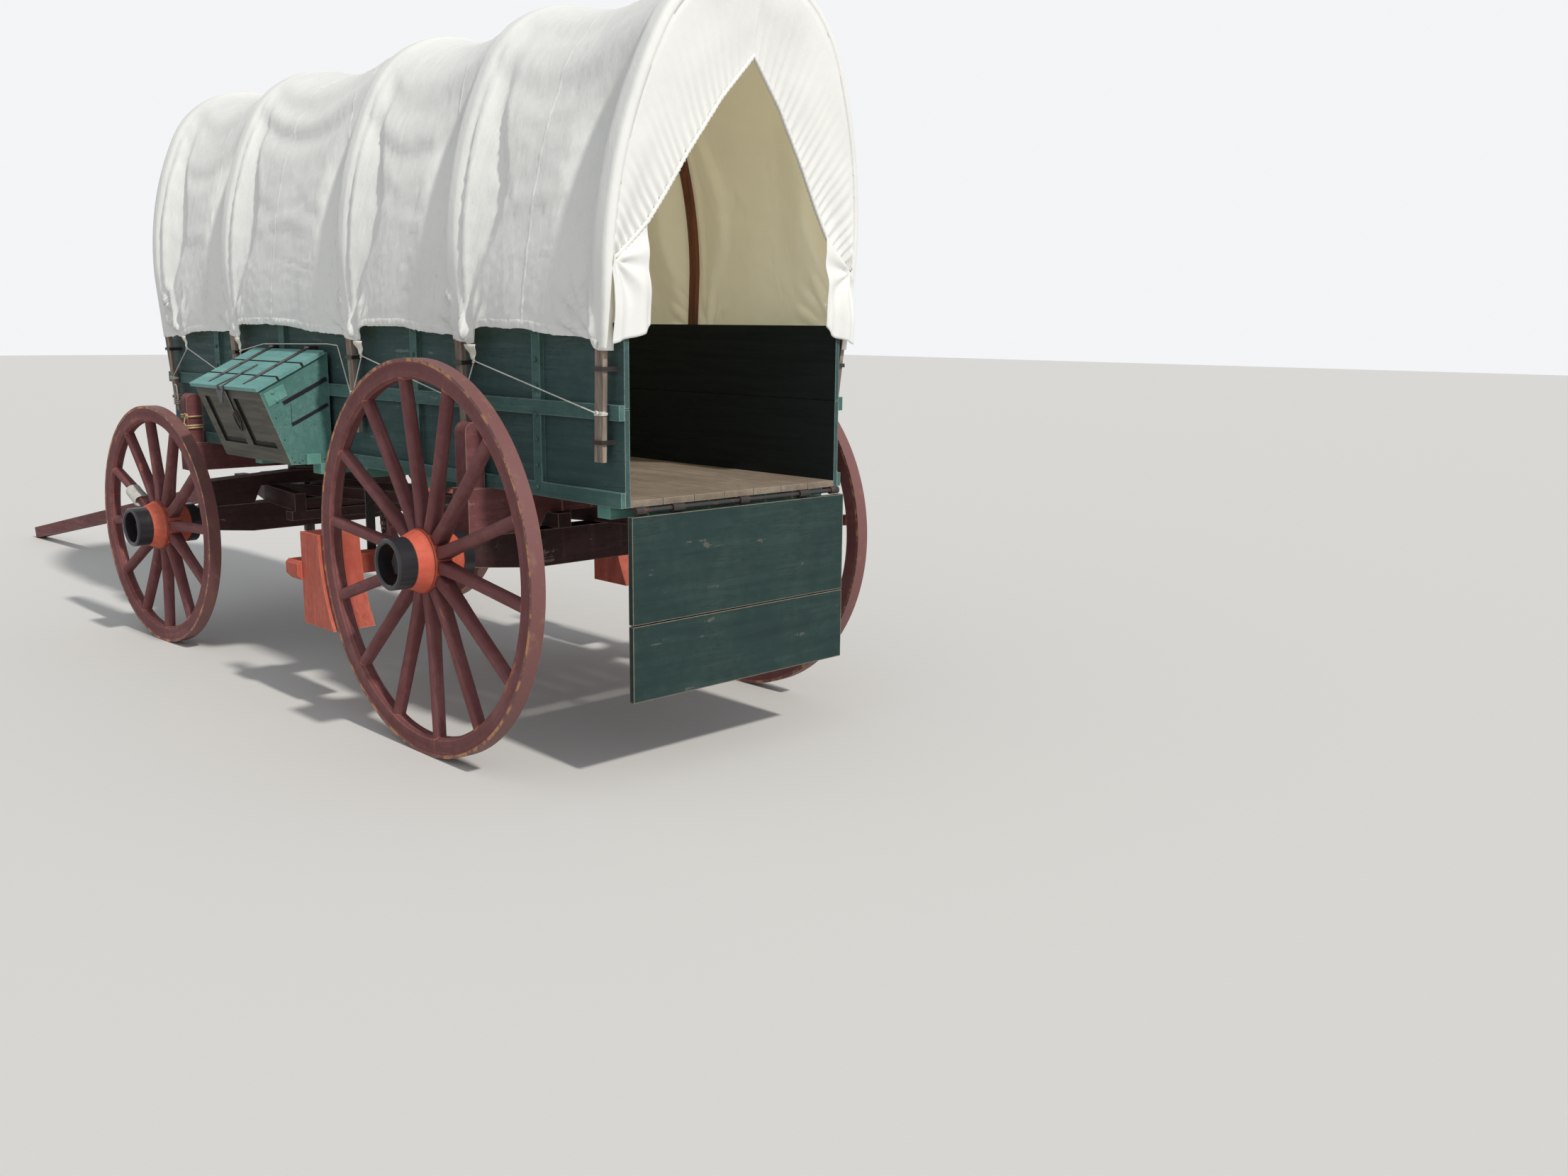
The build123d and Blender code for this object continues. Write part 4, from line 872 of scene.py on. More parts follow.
columns = sheet_columns()
rows = sheet_rows()
print("cover grid", len(columns), "by", len(rows))

# %% [markdown]
# Blender's Cloth measures each thread on the shape key that it is told is at rest, so the cloth
# as cut goes into a shape key, and the start shape is the mesh itself. A vertex group holds the
# cloth on the bows and at the ties. After the last frame the result is kept and the modifier
# goes, so the piece is plain geometry.


# %% Cloth simulation
def grid_faces(count, across, first=0):
    """Quads between the points of a grid that stand in rows, from the index of the first."""
    faces = []
    for row in range(count - 1):
        for corner in range(first + row * across, first + (row + 1) * across - 1):
            faces.append((corner, corner + 1, corner + across + 1, corner + across))
    return faces


def grid_mesh(name, points, across):
    return new_piece(name, points, grid_faces(len(points) // across, across))


def shade_smooth(piece):
    for polygon in piece.data.polygons:
        polygon.use_smooth = True


def bake(piece):
    """Makes what a piece's modifiers do its own plain geometry."""
    graph = bpy.context.evaluated_depsgraph_get()
    mesh = bpy.data.meshes.new_from_object(piece.evaluated_get(graph))
    piece.modifiers.clear()
    piece.shape_key_clear()
    piece.vertex_groups.clear()
    piece.data = mesh


CLOTH = {
    "vertex_group_mass": "held",
    "pin_stiffness": 1.0,
    "quality": 6,
    "mass": 0.35,
    "tension_stiffness": 30.0,
    "compression_stiffness": 20.0,
    "shear_stiffness": 8.0,
    "bending_stiffness": 6.0,
    "air_damping": 2.0,
    "tension_damping": 12.0,
    "compression_damping": 12.0,
    "shear_damping": 12.0,
    "bending_damping": 2.0,
}
COVER_FRAMES = 24


def settle(piece, cut_points, held):
    """Lets a sheet fall into folds. held gives how firmly each point is held, from 0 to 1."""
    piece.shape_key_add(name="start")
    cut = piece.shape_key_add(name="cut")
    for index, point in enumerate(cut_points):
        cut.data[index].co = point
    group = piece.vertex_groups.new(name="held")
    for index, grip in enumerate(held):
        if grip > 0:
            group.add([index], grip, "REPLACE")
    modifier = piece.modifiers.new("cloth", "CLOTH")
    modifier.settings.rest_shape_key = cut
    for name, value in CLOTH.items():
        setattr(modifier.settings, name, value)
    modifier.collision_settings.use_collision = False
    modifier.point_cache.frame_start = 1
    modifier.point_cache.frame_end = COVER_FRAMES
    scene = bpy.context.scene
    for step in range(1, COVER_FRAMES + 1):
        scene.frame_set(step)
    bake(piece)
    scene.frame_set(1)


BOW_GRIP = 0.030
SEED_GRIP = 0.30
HEM_GRIP = 0.75
TIE_ROWS = 0.985
CLOTH_SLACK = 0.012
RIDGE_SHARE = 0.45
SHAKE = 0.002
SHAKE_SEED = 7
# A place inside the cover. The cut cloth is enlarged about it, and outward is away from it
COVER_MIDDLE = (1.0, 0.0, 1.6)


def hold_cover(along, row_share):
    """The cover is held along each bow, and round each tie at its hem."""
    down = abs(row_share)
    if abs(along - nearest(FEET, along)) < BOW_GRIP or not FEET[0] < along < FEET[-1]:
        return 1.0
    if down > TIE_ROWS and abs(along - nearest(TIES, along)) < TIE_HALF:
        return 1.0
    return between(SEED_GRIP, HEM_GRIP, smooth(0.70, 0.88, down))


def sharpen_drag_folds(cover):
    """The simulation rounds off the narrow folds over the ties, so they are drawn in again."""
    for index, vertex in enumerate(cover.data.vertices):
        along = columns[index % len(columns)]
        side = side_of(rows[index // len(columns)])
        push = all_fans(along, vertex.co.z, side)
        vertex.co.y += side * RIDGE_SHARE * push * off_bow(along)


def make_cover():
    start, cut, held = [], [], []
    middle = place(*COVER_MIDDLE)
    for row_share in rows:
        for along in columns:
            point = sheet_point(along, row_share)
            start.append(point)
            cut.append(middle + (point - middle) * (1 + CLOTH_SLACK))
            held.append(hold_cover(along, row_share))
    cover = grid_mesh("canvas_cover", start, len(columns))
    rng = random.Random(SHAKE_SEED)
    for vertex, grip in zip(cover.data.vertices, held):
        if grip < 1:
            vertex.co += Vector([rng.uniform(-1, 1) for axis in "xyz"]) * SHAKE
    settle(cover, cut, held)
    sharpen_drag_folds(cover)
    return cover


canvas_cover = make_cover()
print("cover vertices", len(canvas_cover.data.vertices))
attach(canvas_cover, "wagon")
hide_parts("cover")

# %% [markdown]
# Duck is a tight cotton weave. Close to, its threads make a fine grid of bumps, and the cloth
# has a faint sheen. It greys where rain runs off and stays cleaner in the folds. The side that
# faces the box gets a warmer tone and a faint glow, painted light for daylight shining through
# the cloth.


# %% Canvas
def canvas(name, tone, dirt, through=None):
    f = Finish(name)
    at = f.position()
    clouds = f.noise(at, 2.2, 5.0, 0.6)
    threads = f.noise(f.stretched(at, (900.0, 260.0, 260.0)), 1.0, 2.0)
    cross = f.noise(f.stretched(at, (260.0, 900.0, 900.0)), 1.0, 2.0)
    creases = f.noise(f.stretched(at, (11.0, 7.0, 5.0)), 1.0, 7.0, 0.62)
    colour = f.mixed(f.step(clouds, 0.42, 0.75) * 0.55, tone, dirt)
    weave = f.bump(threads * 0.5 + cross * 0.5, 0.0006, 0.5)
    relief = f.bump(creases, 0.010, 0.5, weave)
    more = {"Emission Color": through, "Emission Strength": 1.0} if through else {}
    return f.finish(colour, 0.82, relief, **{"Sheen Weight": 0.12}, **more)


CANVAS_TONE = (0.735, 0.735, 0.710)
CANVAS_DIRT = (0.610, 0.612, 0.600)
# Painted light: the lining's warm tone stands for daylight shining through the cloth
LINING_PAINTED_LIGHT = (0.820, 0.780, 0.600)
LINING_DIRT_PAINTED_LIGHT = (0.740, 0.690, 0.520)
# Painted light: a faint glow on the lining, for daylight through the cloth
DAYLIGHT_THROUGH = (0.140, 0.128, 0.090)
canvas_outside = canvas("canvas_outside", CANVAS_TONE, CANVAS_DIRT)
canvas_inside = canvas("canvas_inside", LINING_PAINTED_LIGHT, LINING_DIRT_PAINTED_LIGHT, DAYLIGHT_THROUGH)


def make_cloth(piece):
    """Gives a sheet its thickness, with the canvas outside and within a side whose warmer tone and
    faint glow are painted light for daylight through the cloth.
    """
    print(piece.name, round(sum(face.area for face in piece.data.polygons), 3), "square metres")
    piece.data.materials.append(canvas_outside)
    piece.data.materials.append(canvas_inside)
    solidify = piece.modifiers.new("thickness", "SOLIDIFY")
    solidify.thickness = CLOTH_T
    solidify.offset = -1
    solidify.material_offset = 1
    solidify.material_offset_rim = 0
    bake(piece)
    shade_smooth(piece)


outer_skin = canvas_cover.data.copy()
make_cloth(canvas_cover)
print("cover faces", len(canvas_cover.data.polygons))

# %% [markdown]
# The hem is folded up and stitched, which puckers it, and the sheet is sewn from panels whose
# seams run from hem to hem. Both follow the simulated sheet: they are strips a millimetre or two
# outside it. Each strip samples the sheet between its grid points.


# %% Hem and seams
def skin_spot(column_at, row_at):
    """A point of the simulated sheet and its outward direction, at a place in its grid."""
    across = len(columns)
    column = min(int(column_at), across - 2)
    row = min(int(row_at), len(rows) - 2)
    first = row * across + column
    near = (first, first + 1, first + across, first + across + 1)
    spots = [outer_skin.vertices[index].co for index in near]
    u, v = column_at - column, row_at - row
    spot = spots[0].lerp(spots[1], u).lerp(spots[2].lerp(spots[3], u), v)
    out = (spots[1] - spots[0]).cross(spots[2] - spots[0])
    if out.dot(spot - Vector((spot.x, 0, COVER_MIDDLE[2]))) < 0:
        out = -out
    return spot, out.normalized()


def grid_place(places, value):
    """A value's place in a rising list, as an index with a share."""
    index = max(0, min(len(places) - 2, sum(1 for place_at in places if place_at <= value) - 1))
    return index + (value - places[index]) / (places[index + 1] - places[index])


HEM_WIDE = 0.030
HEM_OUT = 0.0012
HEM_PUCKER = 0.0042
HEM_PUCKER_LONG = 0.026
HEM_STEP_LONG = 0.006


def hem_band(side, name):
    start, end = FEET[0], FEET[-1]
    count = round((end - start) / HEM_STEP_LONG)
    across = 7
    points = []
    for step in range(count + 1):
        along = start + (end - start) * step / count
        column_at = grid_place(columns, along)
        beat = wobble(along * 21.0, side * 4.0, 1.0)
        turn = 2 * math.pi * (along / HEM_PUCKER_LONG + 0.9 * beat)
        strong = 0.35 + 0.65 * smooth(-0.2, 0.3, wobble(along * 3.0, side * 2.0, 6.0))
        for index in range(across):
            share = index / (across - 1)
            row_at = grid_place(rows, side * (1 - share * HEM_WIDE / HALF_REACH))
            spot, out = skin_spot(column_at, row_at)
            swell = math.sin(math.pi * share) ** 0.6
            lift = HEM_OUT * (1 if 0 < index < across - 1 else 0.2)
            lift += HEM_PUCKER * strong * swell * (0.5 + 0.5 * math.cos(turn + 2.0 * share))
            points.append(spot + out * lift)
    band = grid_mesh(name, points, across)
    if side > 0:
        band.data.flip_normals()
    return band


SEAMS = [0.240, 1.055, 1.560, 2.240, -0.320]
SEAM_WIDE = 0.013
SEAM_OUT = 0.0013
SEAM_STEPS = 260


def seam_strips(name):
    points, faces = [], []
    for along in SEAMS:
        faces += grid_faces(SEAM_STEPS + 1, 4, len(points))
        for step in range(SEAM_STEPS + 1):
            row_at = (len(rows) - 1) * (0.004 + 0.992 * step / SEAM_STEPS)
            for index in range(4):
                offset = SEAM_WIDE * (index / 3 - 0.5)
                spot, out = skin_spot(grid_place(columns, along + offset), row_at)
                lift = SEAM_OUT if index in (1, 2) else 0.0001
                points.append(spot + out * lift)
    return new_piece(name, points, faces)


hem_bands = [hem_band(1, "cover_hem_left"), hem_band(-1, "cover_hem_right")]
cover_seams = seam_strips("cover_seams")
trim = hem_bands + [cover_seams]
for piece in trim:
    shade_smooth(piece)
    piece.data.materials.append(canvas_outside)
    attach(piece, "wagon")
    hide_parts("cover")
print("hem", len(hem_bands[0].data.polygons), "faces a side")

# %% [markdown]
# ## The ends of the cover
# Behind the rear bow the sheet is drawn in by a string in its hem. The string runs from the
# ridge down to a tie at each side, so the cloth puckers along it, and the corner of the sheet
# below each tie hangs as a loose flap. In front the string is pulled tight into an oval hole.
# Both are grids again: one edge follows the bow's rim, the other follows the string.

# %% Curtains
REAR_PLANE = 0.036
RIM_OUT = CLOTH_OUT - ROLL_R - ROLL_PAST + 0.004
# The string's line at the rear, from the ridge: left and up
STRING = [(0.0, 2.405), (0.130, 2.262), (0.259, 2.083), (0.345, 1.950)]
STRING += [(0.410, 1.858), (0.480, 1.790), (0.540, 1.735)]
STRING_IN = 0.014
STRING_R = 0.0055
RIM_MEET_UP = 1.800
PUCKER_LONG = 0.036
PUCKER_OUT = 0.0075
PUCKER_FADE = 0.105
FLAP_BOTTOM = [(0.560, 1.478), (0.515, 1.492), (0.470, 1.500), (0.430, 1.512), (0.402, 1.540)]
FLAP_SWING = 0.030
FLAP_ROWS = 34
FLAP_COLUMNS = 44
END_COLUMNS = 26


def on_line(line, share):
    """The point at a share of a line's length."""
    spots = [Vector(spot) for spot in line]
    lengths = [(b - a).length for a, b in zip(spots, spots[1:])]
    left_over = share * sum(lengths)
    for a, b, long in zip(spots, spots[1:], lengths):
        if left_over <= long:
            return a.lerp(b, left_over / long)
        left_over -= long
    return spots[-1]


STRING_LONG = sum((Vector(b) - Vector(a)).length for a, b in zip(STRING, STRING[1:]))


def end_point(bow, out, left, up):
    """A point on the plane of an end bow, a little outside it. bow is 0 or -1."""
    foot, lean = BOWS[bow]
    way = 1 if bow else -1
    return place(foot + way * out + lean * (up - FOOT_UP), left, up)


def drawn_in(name, bow, count, meet_up, inner_at, out_at):
    """A sheet from an end bow's rim to its string. inner_at gives the string's left and up at
    a share of the way down, and out_at how far the cloth stands out."""
    meet = reach_at(meet_up, CLOTH_OUT)
    points = []
    for row in range(count):
        side_share = -1 + 2 * row / (count - 1)
        side, share = side_of(side_share), abs(side_share)
        rim, inner = arch_point(share * meet, RIM_OUT), inner_at(share)
        wide = math.hypot(rim[0] - inner[0], rim[1] - inner[1])
        for column in range(END_COLUMNS):
            u = (column / (END_COLUMNS - 1)) ** 0.8
            out = out_at(share, side, u, wide * (1 - u))
            left, up = (between(rim[axis], inner[axis], u) for axis in (0, 1))
            points.append(end_point(bow, out, side * left, up))
    return grid_mesh(name, points, END_COLUMNS)


def rear_inner(share):
    return on_line(STRING, share)


def rear_out(share, side, u, from_string):
    """Small gathers across the string, that fade away from it, on a soft swell."""
    seed = side * 3.0
    turn = share * STRING_LONG / PUCKER_LONG + 0.35 * wobble(share * 9.0, seed, 1.0)
    fade = PUCKER_FADE * (1 + 0.7 * wobble(math.floor(turn) * 1.3, seed, 5.0))
    strong = PUCKER_OUT * (0.55 + 0.45 * smooth(0.45, 1.0, share))
    push = strong * math.cos(2 * math.pi * turn) * math.exp(-from_string / fade)
    swell = 0.010 * math.sin(math.pi * u) * wobble(share * 4.0, u * 2.0, side * 5.0)
    return REAR_PLANE - 0.016 * smooth(0.1, 1.0, u) + push * smooth(0.0, 0.25, u) + swell


def rear_flap(side, name):
    """The loose corner of the sheet below a tie."""
    tie = STRING[-1]
    top = [arch_point(reach_at(RIM_MEET_UP, CLOTH_OUT), RIM_OUT), tie, STRING[-2], STRING[-3]]
    points = []
    for row in range(FLAP_ROWS):
        b = row / (FLAP_ROWS - 1)
        for column in range(FLAP_COLUMNS):
            a = column / (FLAP_COLUMNS - 1)
            upper, lower = on_line(top, a), on_line(FLAP_BOTTOM, a)
            left, up = (between(upper[axis], lower[axis], b) for axis in (0, 1))
            from_tie = math.hypot(left - tie[0], up - tie[1])
            angle = math.atan2(tie[1] - up, tie[0] - left)
            drag = math.cos(7.0 * angle + 2.0 * side) * math.exp(-((from_tie / 0.17) ** 2))
            drape = math.sin(2 * math.pi * (a * 1.6 + 0.15 * side)) * smooth(0.0, 0.8, b)
            out = REAR_PLANE + 0.004 * (1 - b) + FLAP_SWING * smooth(0.0, 0.75, b)
            out += 0.009 * drag * smooth(0.0, 0.04, from_tie)
            out += 0.010 * drape * smooth(0.0, 0.2, a) - 0.014 * (1 - b) * a
            points.append(end_point(0, out, side * left, up))
    return grid_mesh(name, points, FLAP_COLUMNS)


def ring_faces(first, count, sides, closed=False):
    """Quads along a tube of rings of points, from the index of the first."""
    faces = []
    for ring in range(count if closed else count - 1):
        here, there = first + ring * sides, first + (ring + 1) % count * sides
        for corner in range(sides):
            after = (corner + 1) % sides
            faces.append((here + corner, here + after, there + after, there + corner))
    return faces


def casing(name, path, bead, bead_out, sides=8):
    """A cloth casing round a string, bunched up in beads."""
    points = []
    far = 0.0
    for index, spot in enumerate(path):
        ahead = path[min(index + 1, len(path) - 1)] - path[max(index - 1, 0)]
        if index:
            far += (spot - path[index - 1]).length
        ahead.normalize()
        over = ahead.cross(Vector((1, 0, 0))).normalized()
        out = over.cross(ahead)
        radius = STRING_R + bead_out * (0.5 + 0.5 * math.cos(2 * math.pi * far / bead))
        radius += 0.3 * bead_out * wobble(far * 30.0, 2.0, 1.0)
        if index in (0, len(path) - 1):
            radius *= 0.4
        for corner in range(sides):
            turn = 2 * math.pi * corner / sides
            points.append(spot + (math.cos(turn) * out + math.sin(turn) * over) * radius)
    faces = ring_faces(0, len(path), sides)
    faces.append(tuple(range(sides)))
    faces.append(tuple(len(points) - 1 - corner for corner in range(sides)))
    piece = new_piece(name, points, faces)
    shade_smooth(piece)
    piece.data.materials.append(canvas_outside)
    return piece


def rear_string_path(count=240):
    path = []
    for step in range(count + 1):
        share = -1 + 2 * step / count
        left, up = on_line(STRING, abs(share))
        path.append(end_point(0, REAR_PLANE - STRING_IN, side_of(share) * left, up))
    return path


rear_gathers = drawn_in("cover_rear_gathers", 0, 281, RIM_MEET_UP, rear_inner, rear_out)
rear_gathers.data.flip_normals()
make_cloth(rear_gathers)
rear_flaps = [rear_flap(side, f"cover_rear_flap_{side_name}") for side, side_name in SIDES]
rear_flaps[0].data.flip_normals()
for flap in rear_flaps:
    make_cloth(flap)
rear_casing = casing("cover_rear_casing", rear_string_path(), PUCKER_LONG / 2, 0.0035)
for piece in [rear_gathers, rear_casing] + rear_flaps:
    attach(piece, "wagon")
    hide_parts("cover_rear_curtains")

# %% Front end
FRONT_PLANE = 0.034
FRONT_PUSH = 0.020
FRONT_PUCKER = 0.009
HOLE_HALF = 0.235
HOLE_LOW = 1.715
HOLE_TOP = 2.325
FRONT_LOW = 1.553
HOLE_SHARE = 0.86


def hole_edge(turn):
    """Left and up of the oval hole's edge, at an angle from its top."""
    up = (HOLE_LOW + HOLE_TOP) / 2 + (HOLE_TOP - HOLE_LOW) / 2 * math.cos(turn)
    return HOLE_HALF * math.sin(turn), up


def front_inner(share):
    """The hole's edge, then the line where the two edges of the sheet meet below it."""
    if share < HOLE_SHARE:
        return hole_edge(math.pi * share / HOLE_SHARE)
    return 0.0, between(HOLE_LOW, FRONT_LOW, (share - HOLE_SHARE) / (1 - HOLE_SHARE))


def front_out(share, side, u, near):
    turns = share * 22 + 0.3 * wobble(share * 12.0, side * 2.0, 0.0)
    fade = 0.16 * (1 + 0.6 * wobble(math.floor(turns) * 1.7, side * 4.0, 2.0))
    push = FRONT_PUCKER * math.cos(2 * math.pi * turns) * math.exp(-near / fade)
    out = FRONT_PLANE + FRONT_PUSH * smooth(0.2, 1.0, u) * (share < HOLE_SHARE)
    return out + push * smooth(0.0, 0.25, u)


def front_string_path(count=180):
    path = []
    for step in range(count + 1):
        edge = hole_edge(math.pi * (-1 + 2 * step / count))
        path.append(end_point(-1, FRONT_PLANE + FRONT_PUSH, *edge))
    return path


front_gathers = drawn_in("cover_front_gathers", -1, 301, FRONT_LOW, front_inner, front_out)
make_cloth(front_gathers)
front_casing = casing("cover_front_casing", front_string_path(), 0.022, 0.0040)
for piece in [front_gathers, front_casing]:
    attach(piece, "wagon")
    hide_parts("cover_front_end")

# %% [markdown]
# ## Cords, straps and rope
# Every small tube here is swept along a path. A frame of two arms is carried along the path
# without twist, and the ring of corners stands on those arms. A rope is three such tubes that
# wind round each other.


# %% Sweeps
def soft_curve(spots, step=0.006):
    """A curve through a few points, by Catmull and Rom's rule."""
    spots = [spots[0] * 2 - spots[1]] + spots + [spots[-1] * 2 - spots[-2]]
    path = []
    for a, b, c, d in zip(spots, spots[1:], spots[2:], spots[3:]):
        count = max(2, round((c - b).length / step))
        for index in range(count):
            t = index / count
            soft = 2 * b + (c - a) * t + (2 * a - 5 * b + 4 * c - d) * t * t
            path.append((soft + (3 * b - a - 3 * c + d) * t**3) / 2)
    path.append(spots[-2])
    return path


def carried_arms(path):
    """Two arms square to the path at each of its points, with no twist between them."""
    arms = []
    over = None
    for index, spot in enumerate(path):
        ahead = (path[min(index + 1, len(path) - 1)] - path[max(index - 1, 0)]).normalized()
        if over is None:
            over = ahead.cross(Vector((0.3, 0.2, 1.0))).normalized()
        over = (over - over.dot(ahead) * ahead).normalized()
        arms.append((over, ahead.cross(over)))
    return arms


def add_tube(points, faces, path, radius, sides=8):
    """Adds a closed tube to lists of points and faces."""
    first = len(points)
    for spot, (over, out) in zip(path, carried_arms(path)):
        for corner in range(sides):
            turn = 2 * math.pi * corner / sides
            points.append(spot + (math.cos(turn) * over + math.sin(turn) * out) * radius)
    faces += ring_faces(first, len(path), sides)
    faces.append(tuple(first + sides - 1 - corner for corner in range(sides)))
    faces.append(tuple(len(points) - sides + corner for corner in range(sides)))


def made_piece(name, points, faces, material, body="wagon", smooth_faces=True):
    piece = new_piece(name, points, faces)
    bm = bmesh.new()
    bm.from_mesh(piece.data)
    bmesh.ops.recalc_face_normals(bm, faces=bm.faces)
    bm.to_mesh(piece.data)
    bm.free()
    for polygon in piece.data.polygons:
        polygon.use_smooth = smooth_faces
    piece.data.materials.append(material)
    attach(piece, body)
    return piece


def tube_piece(name, paths, radius, material, body="wagon", sides=8):
    points, faces = [], []
    for path in paths:
        add_tube(points, faces, path, radius, sides)
    made_piece(name, points, faces, material, body)


STRANDS = 3


def strands(path, radius):
    """The paths of a rope's strands, which wind round its middle once in seven radii."""
    far = 0.0
    lines = [[] for strand in range(STRANDS)]
    for index, (spot, (over, out)) in enumerate(zip(path, carried_arms(path))):
        if index:
            far += (spot - path[index - 1]).length
        for strand, line in enumerate(lines):
            turn = 2 * math.pi * (far / (radius * 7) + strand / STRANDS)
            arm = math.cos(turn) * over + math.sin(turn) * out
            line.append(spot + arm * radius * 0.52)
    return lines


def rope_piece(name, paths, radius, material):
    lines = [line for path in paths for line in strands(path, radius)]
    tube_piece(name, lines, radius * 0.56, material, sides=7)


print("sweeps ready")

# %% [markdown]
# White cord is new and hardly dirty. The tan rope is manila, grey where it is old: its hairs
# make small bumps and light and dark flecks.


# %% Cord and rope finishes
def twine(name, tone, dark):
    f = Finish(name)
    at = f.position()
    hairs = f.noise(at, 260.0, 4.0, 0.7)
    patches = f.noise(at, 18.0, 3.0)
    colour = f.mixed(f.step(hairs * 0.5 + patches * 0.5, 0.38, 0.62), dark, tone)
    return f.finish(colour, 0.85, f.bump(hairs, 0.0009, 0.7))


white_cord = twine("white_cord", (0.66, 0.65, 0.60), (0.50, 0.49, 0.45))
manila = twine("manila_rope", (0.60, 0.44, 0.26), (0.40, 0.27, 0.14))
grey_rope = twine("grey_rope", (0.46, 0.43, 0.38), (0.28, 0.26, 0.23))
webbing = canvas("webbing", (0.700, 0.680, 0.600), (0.600, 0.580, 0.510))

# %% [markdown]
# Each tie is a triangular loop of webbing that is sewn into the hem a little behind its bow. Two
# white cords leave its tip. They zigzag down to the next cleat, round the bows' feet and past the
# lid of the toolbox, and they are taut, so they are straight lines from knot to knot.

# %% Tie loops
LOOPS = list(zip(TIES[1:], [0.072, 0.070, 0.048, 0.040]))
LOOP_UP = 1.466
LOOP_TIP_UP = 1.408
LOOP_TIP_BACK = 0.012
LOOP_TIP_WIDE = 0.010
LOOP_OUT = 0.560
LOOP_T = 0.003
LOOP_ROWS = 9
LOOP_COLUMNS = 7


def tie_loop(side, along, wide):
    """A folded triangle of webbing that narrows to its tip."""
    points = []
    for row in range(LOOP_ROWS):
        share = row / (LOOP_ROWS - 1)
        half = between(wide, LOOP_TIP_WIDE, share**1.15) / 2
        up = between(LOOP_UP, LOOP_TIP_UP, share)
        left = LOOP_OUT + 0.010 * (1 - share) + 0.003 * math.sin(9 * share)
        for column in range(LOOP_COLUMNS):
            across = -1 + 2 * column / (LOOP_COLUMNS - 1)
            puff = 0.0035 * math.cos(across * 4.5) * (1 - share)
            stand = along - LOOP_TIP_BACK * share + across * half
            points.append(place(stand, side * (left + puff), up))
    return points


KNOT_STEPS = 28


def knot(spot, size):
    """A small overhand knot: two turns of cord."""
    path = []
    for index in range(KNOT_STEPS + 1):
        turn = 4 * math.pi * index / KNOT_STEPS
        c, s = math.cos(turn), math.sin(turn)
        lift = size * 0.5 * math.cos(turn / 2)
        deep = size * 0.45 * math.sin(turn * 1.5)
        path.append(spot + Vector((size * c, deep, size * s * 0.8 + lift)))
    return path


for side, side_name in SIDES:
    points, faces = [], []
    for along, wide in LOOPS:
        faces += grid_faces(LOOP_ROWS, LOOP_COLUMNS, len(points))
        points += tie_loop(side, along, wide)
    loops = made_piece(f"tie_loops_{side_name}", points, faces, webbing)
    thicken = loops.modifiers.new("thickness", "SOLIDIFY")
    thicken.thickness = LOOP_T
    thicken.offset = 0
    bake(loops)
print("tie loops", len(LOOPS), "a side")

# %% Cords
CORD_R = 0.0024
CORD_STEPS = 24
FOOT_WRAP_UP = 1.256
FOOT_KNOT_OUT = 0.004
# The cord past the toolbox, which clears the lid and its hinges
CHEST_CORD = [(1.720, 0.5328, 1.4405), (1.120, 0.5328, 1.4495), (1.020, 0.538, 1.4450)]
CHEST_LOOP = 2


def leg_place(bow, up):
    """The outer middle of a bow's leg at a height, on the left side."""
    foot, lean = BOWS[bow]
    return foot + lean * (up - FOOT_UP), FOOT_LEFT + LEG_SLOPE * (up - FOOT_UP)


def wound(turns, detail, square, spot_at, start=0.0):
    """Turns of cord round a post with rounded corners. spot_at gives the place for an offset
    along each side of the post, from about -1 to 1, and the turns done."""
    path = []
    for step in range(int(turns * detail) + 1):
        turn = start + 2 * math.pi * step / detail
        c, s = math.cos(turn), math.sin(turn)
        grow = 1 / (abs(c) ** square + abs(s) ** square) ** (1 / square)
        path.append(spot_at(c * grow, s * grow, step / detail))
    return path


def wrap_leg(bow, side, up, turns, radius, pitch):
    """Turns of cord round a bow's leg."""
    along, left = leg_place(bow, up)
    half_long, half_deep = BOW_W / 2 + radius, BOW_T / 2 + radius

    def spot(ahead, out, done):
        away = left - BOW_T / 2 + half_deep * out
        return place(along + half_long * ahead, side * away, up + pitch * done)

    return wound(turns, 24, 6, spot)


def cord_line(start, end):
    """A taut cord between two places."""
    return [start.lerp(end, step / CORD_STEPS) for step in range(CORD_STEPS + 1)]


def foot_knot(bow, side, ahead=0.0):
    along, left = leg_place(bow, FOOT_WRAP_UP)
    return place(along + ahead, side * (left + FOOT_KNOT_OUT), FOOT_WRAP_UP + FOOT_KNOT_OUT)


for side, side_name in SIDES:
    paths = []
    for index, (along, wide) in enumerate(LOOPS):
        tip = place(along - LOOP_TIP_BACK, side * LOOP_OUT, LOOP_TIP_UP)
        paths.append(cord_line(tip, foot_knot(index + 1, side, -0.010)))
        past_chest = side > 0 and index == CHEST_LOOP
        corners = [place(*spot) for spot in CHEST_CORD] if past_chest else []
        stops = [tip] + corners + [foot_knot(index, side, 0.012)]
        paths += [cord_line(start, stop) for start, stop in zip(stops, stops[1:])]
        paths.append(knot(tip + Vector((0, side * 0.002, 0)), 0.0055))
    for bow in range(len(BOWS)):
        paths.append(wrap_leg(bow, side, FOOT_WRAP_UP - 0.004, 2.5, CORD_R, 0.0046))
        paths.append(knot(foot_knot(bow, side) + Vector((0, side * 0.004, 0)), 0.0050))
    tube_piece(f"hem_cords_{side_name}", paths, CORD_R, white_cord, sides=7)
print("hem cords", len(paths), "paths a side")

# %% [markdown]
# Manila lashings: turns of rope round the front stake on the toolbox's side, with a knot and a
# frayed end, and a grey rope round the foot of the front bow with its end hanging.

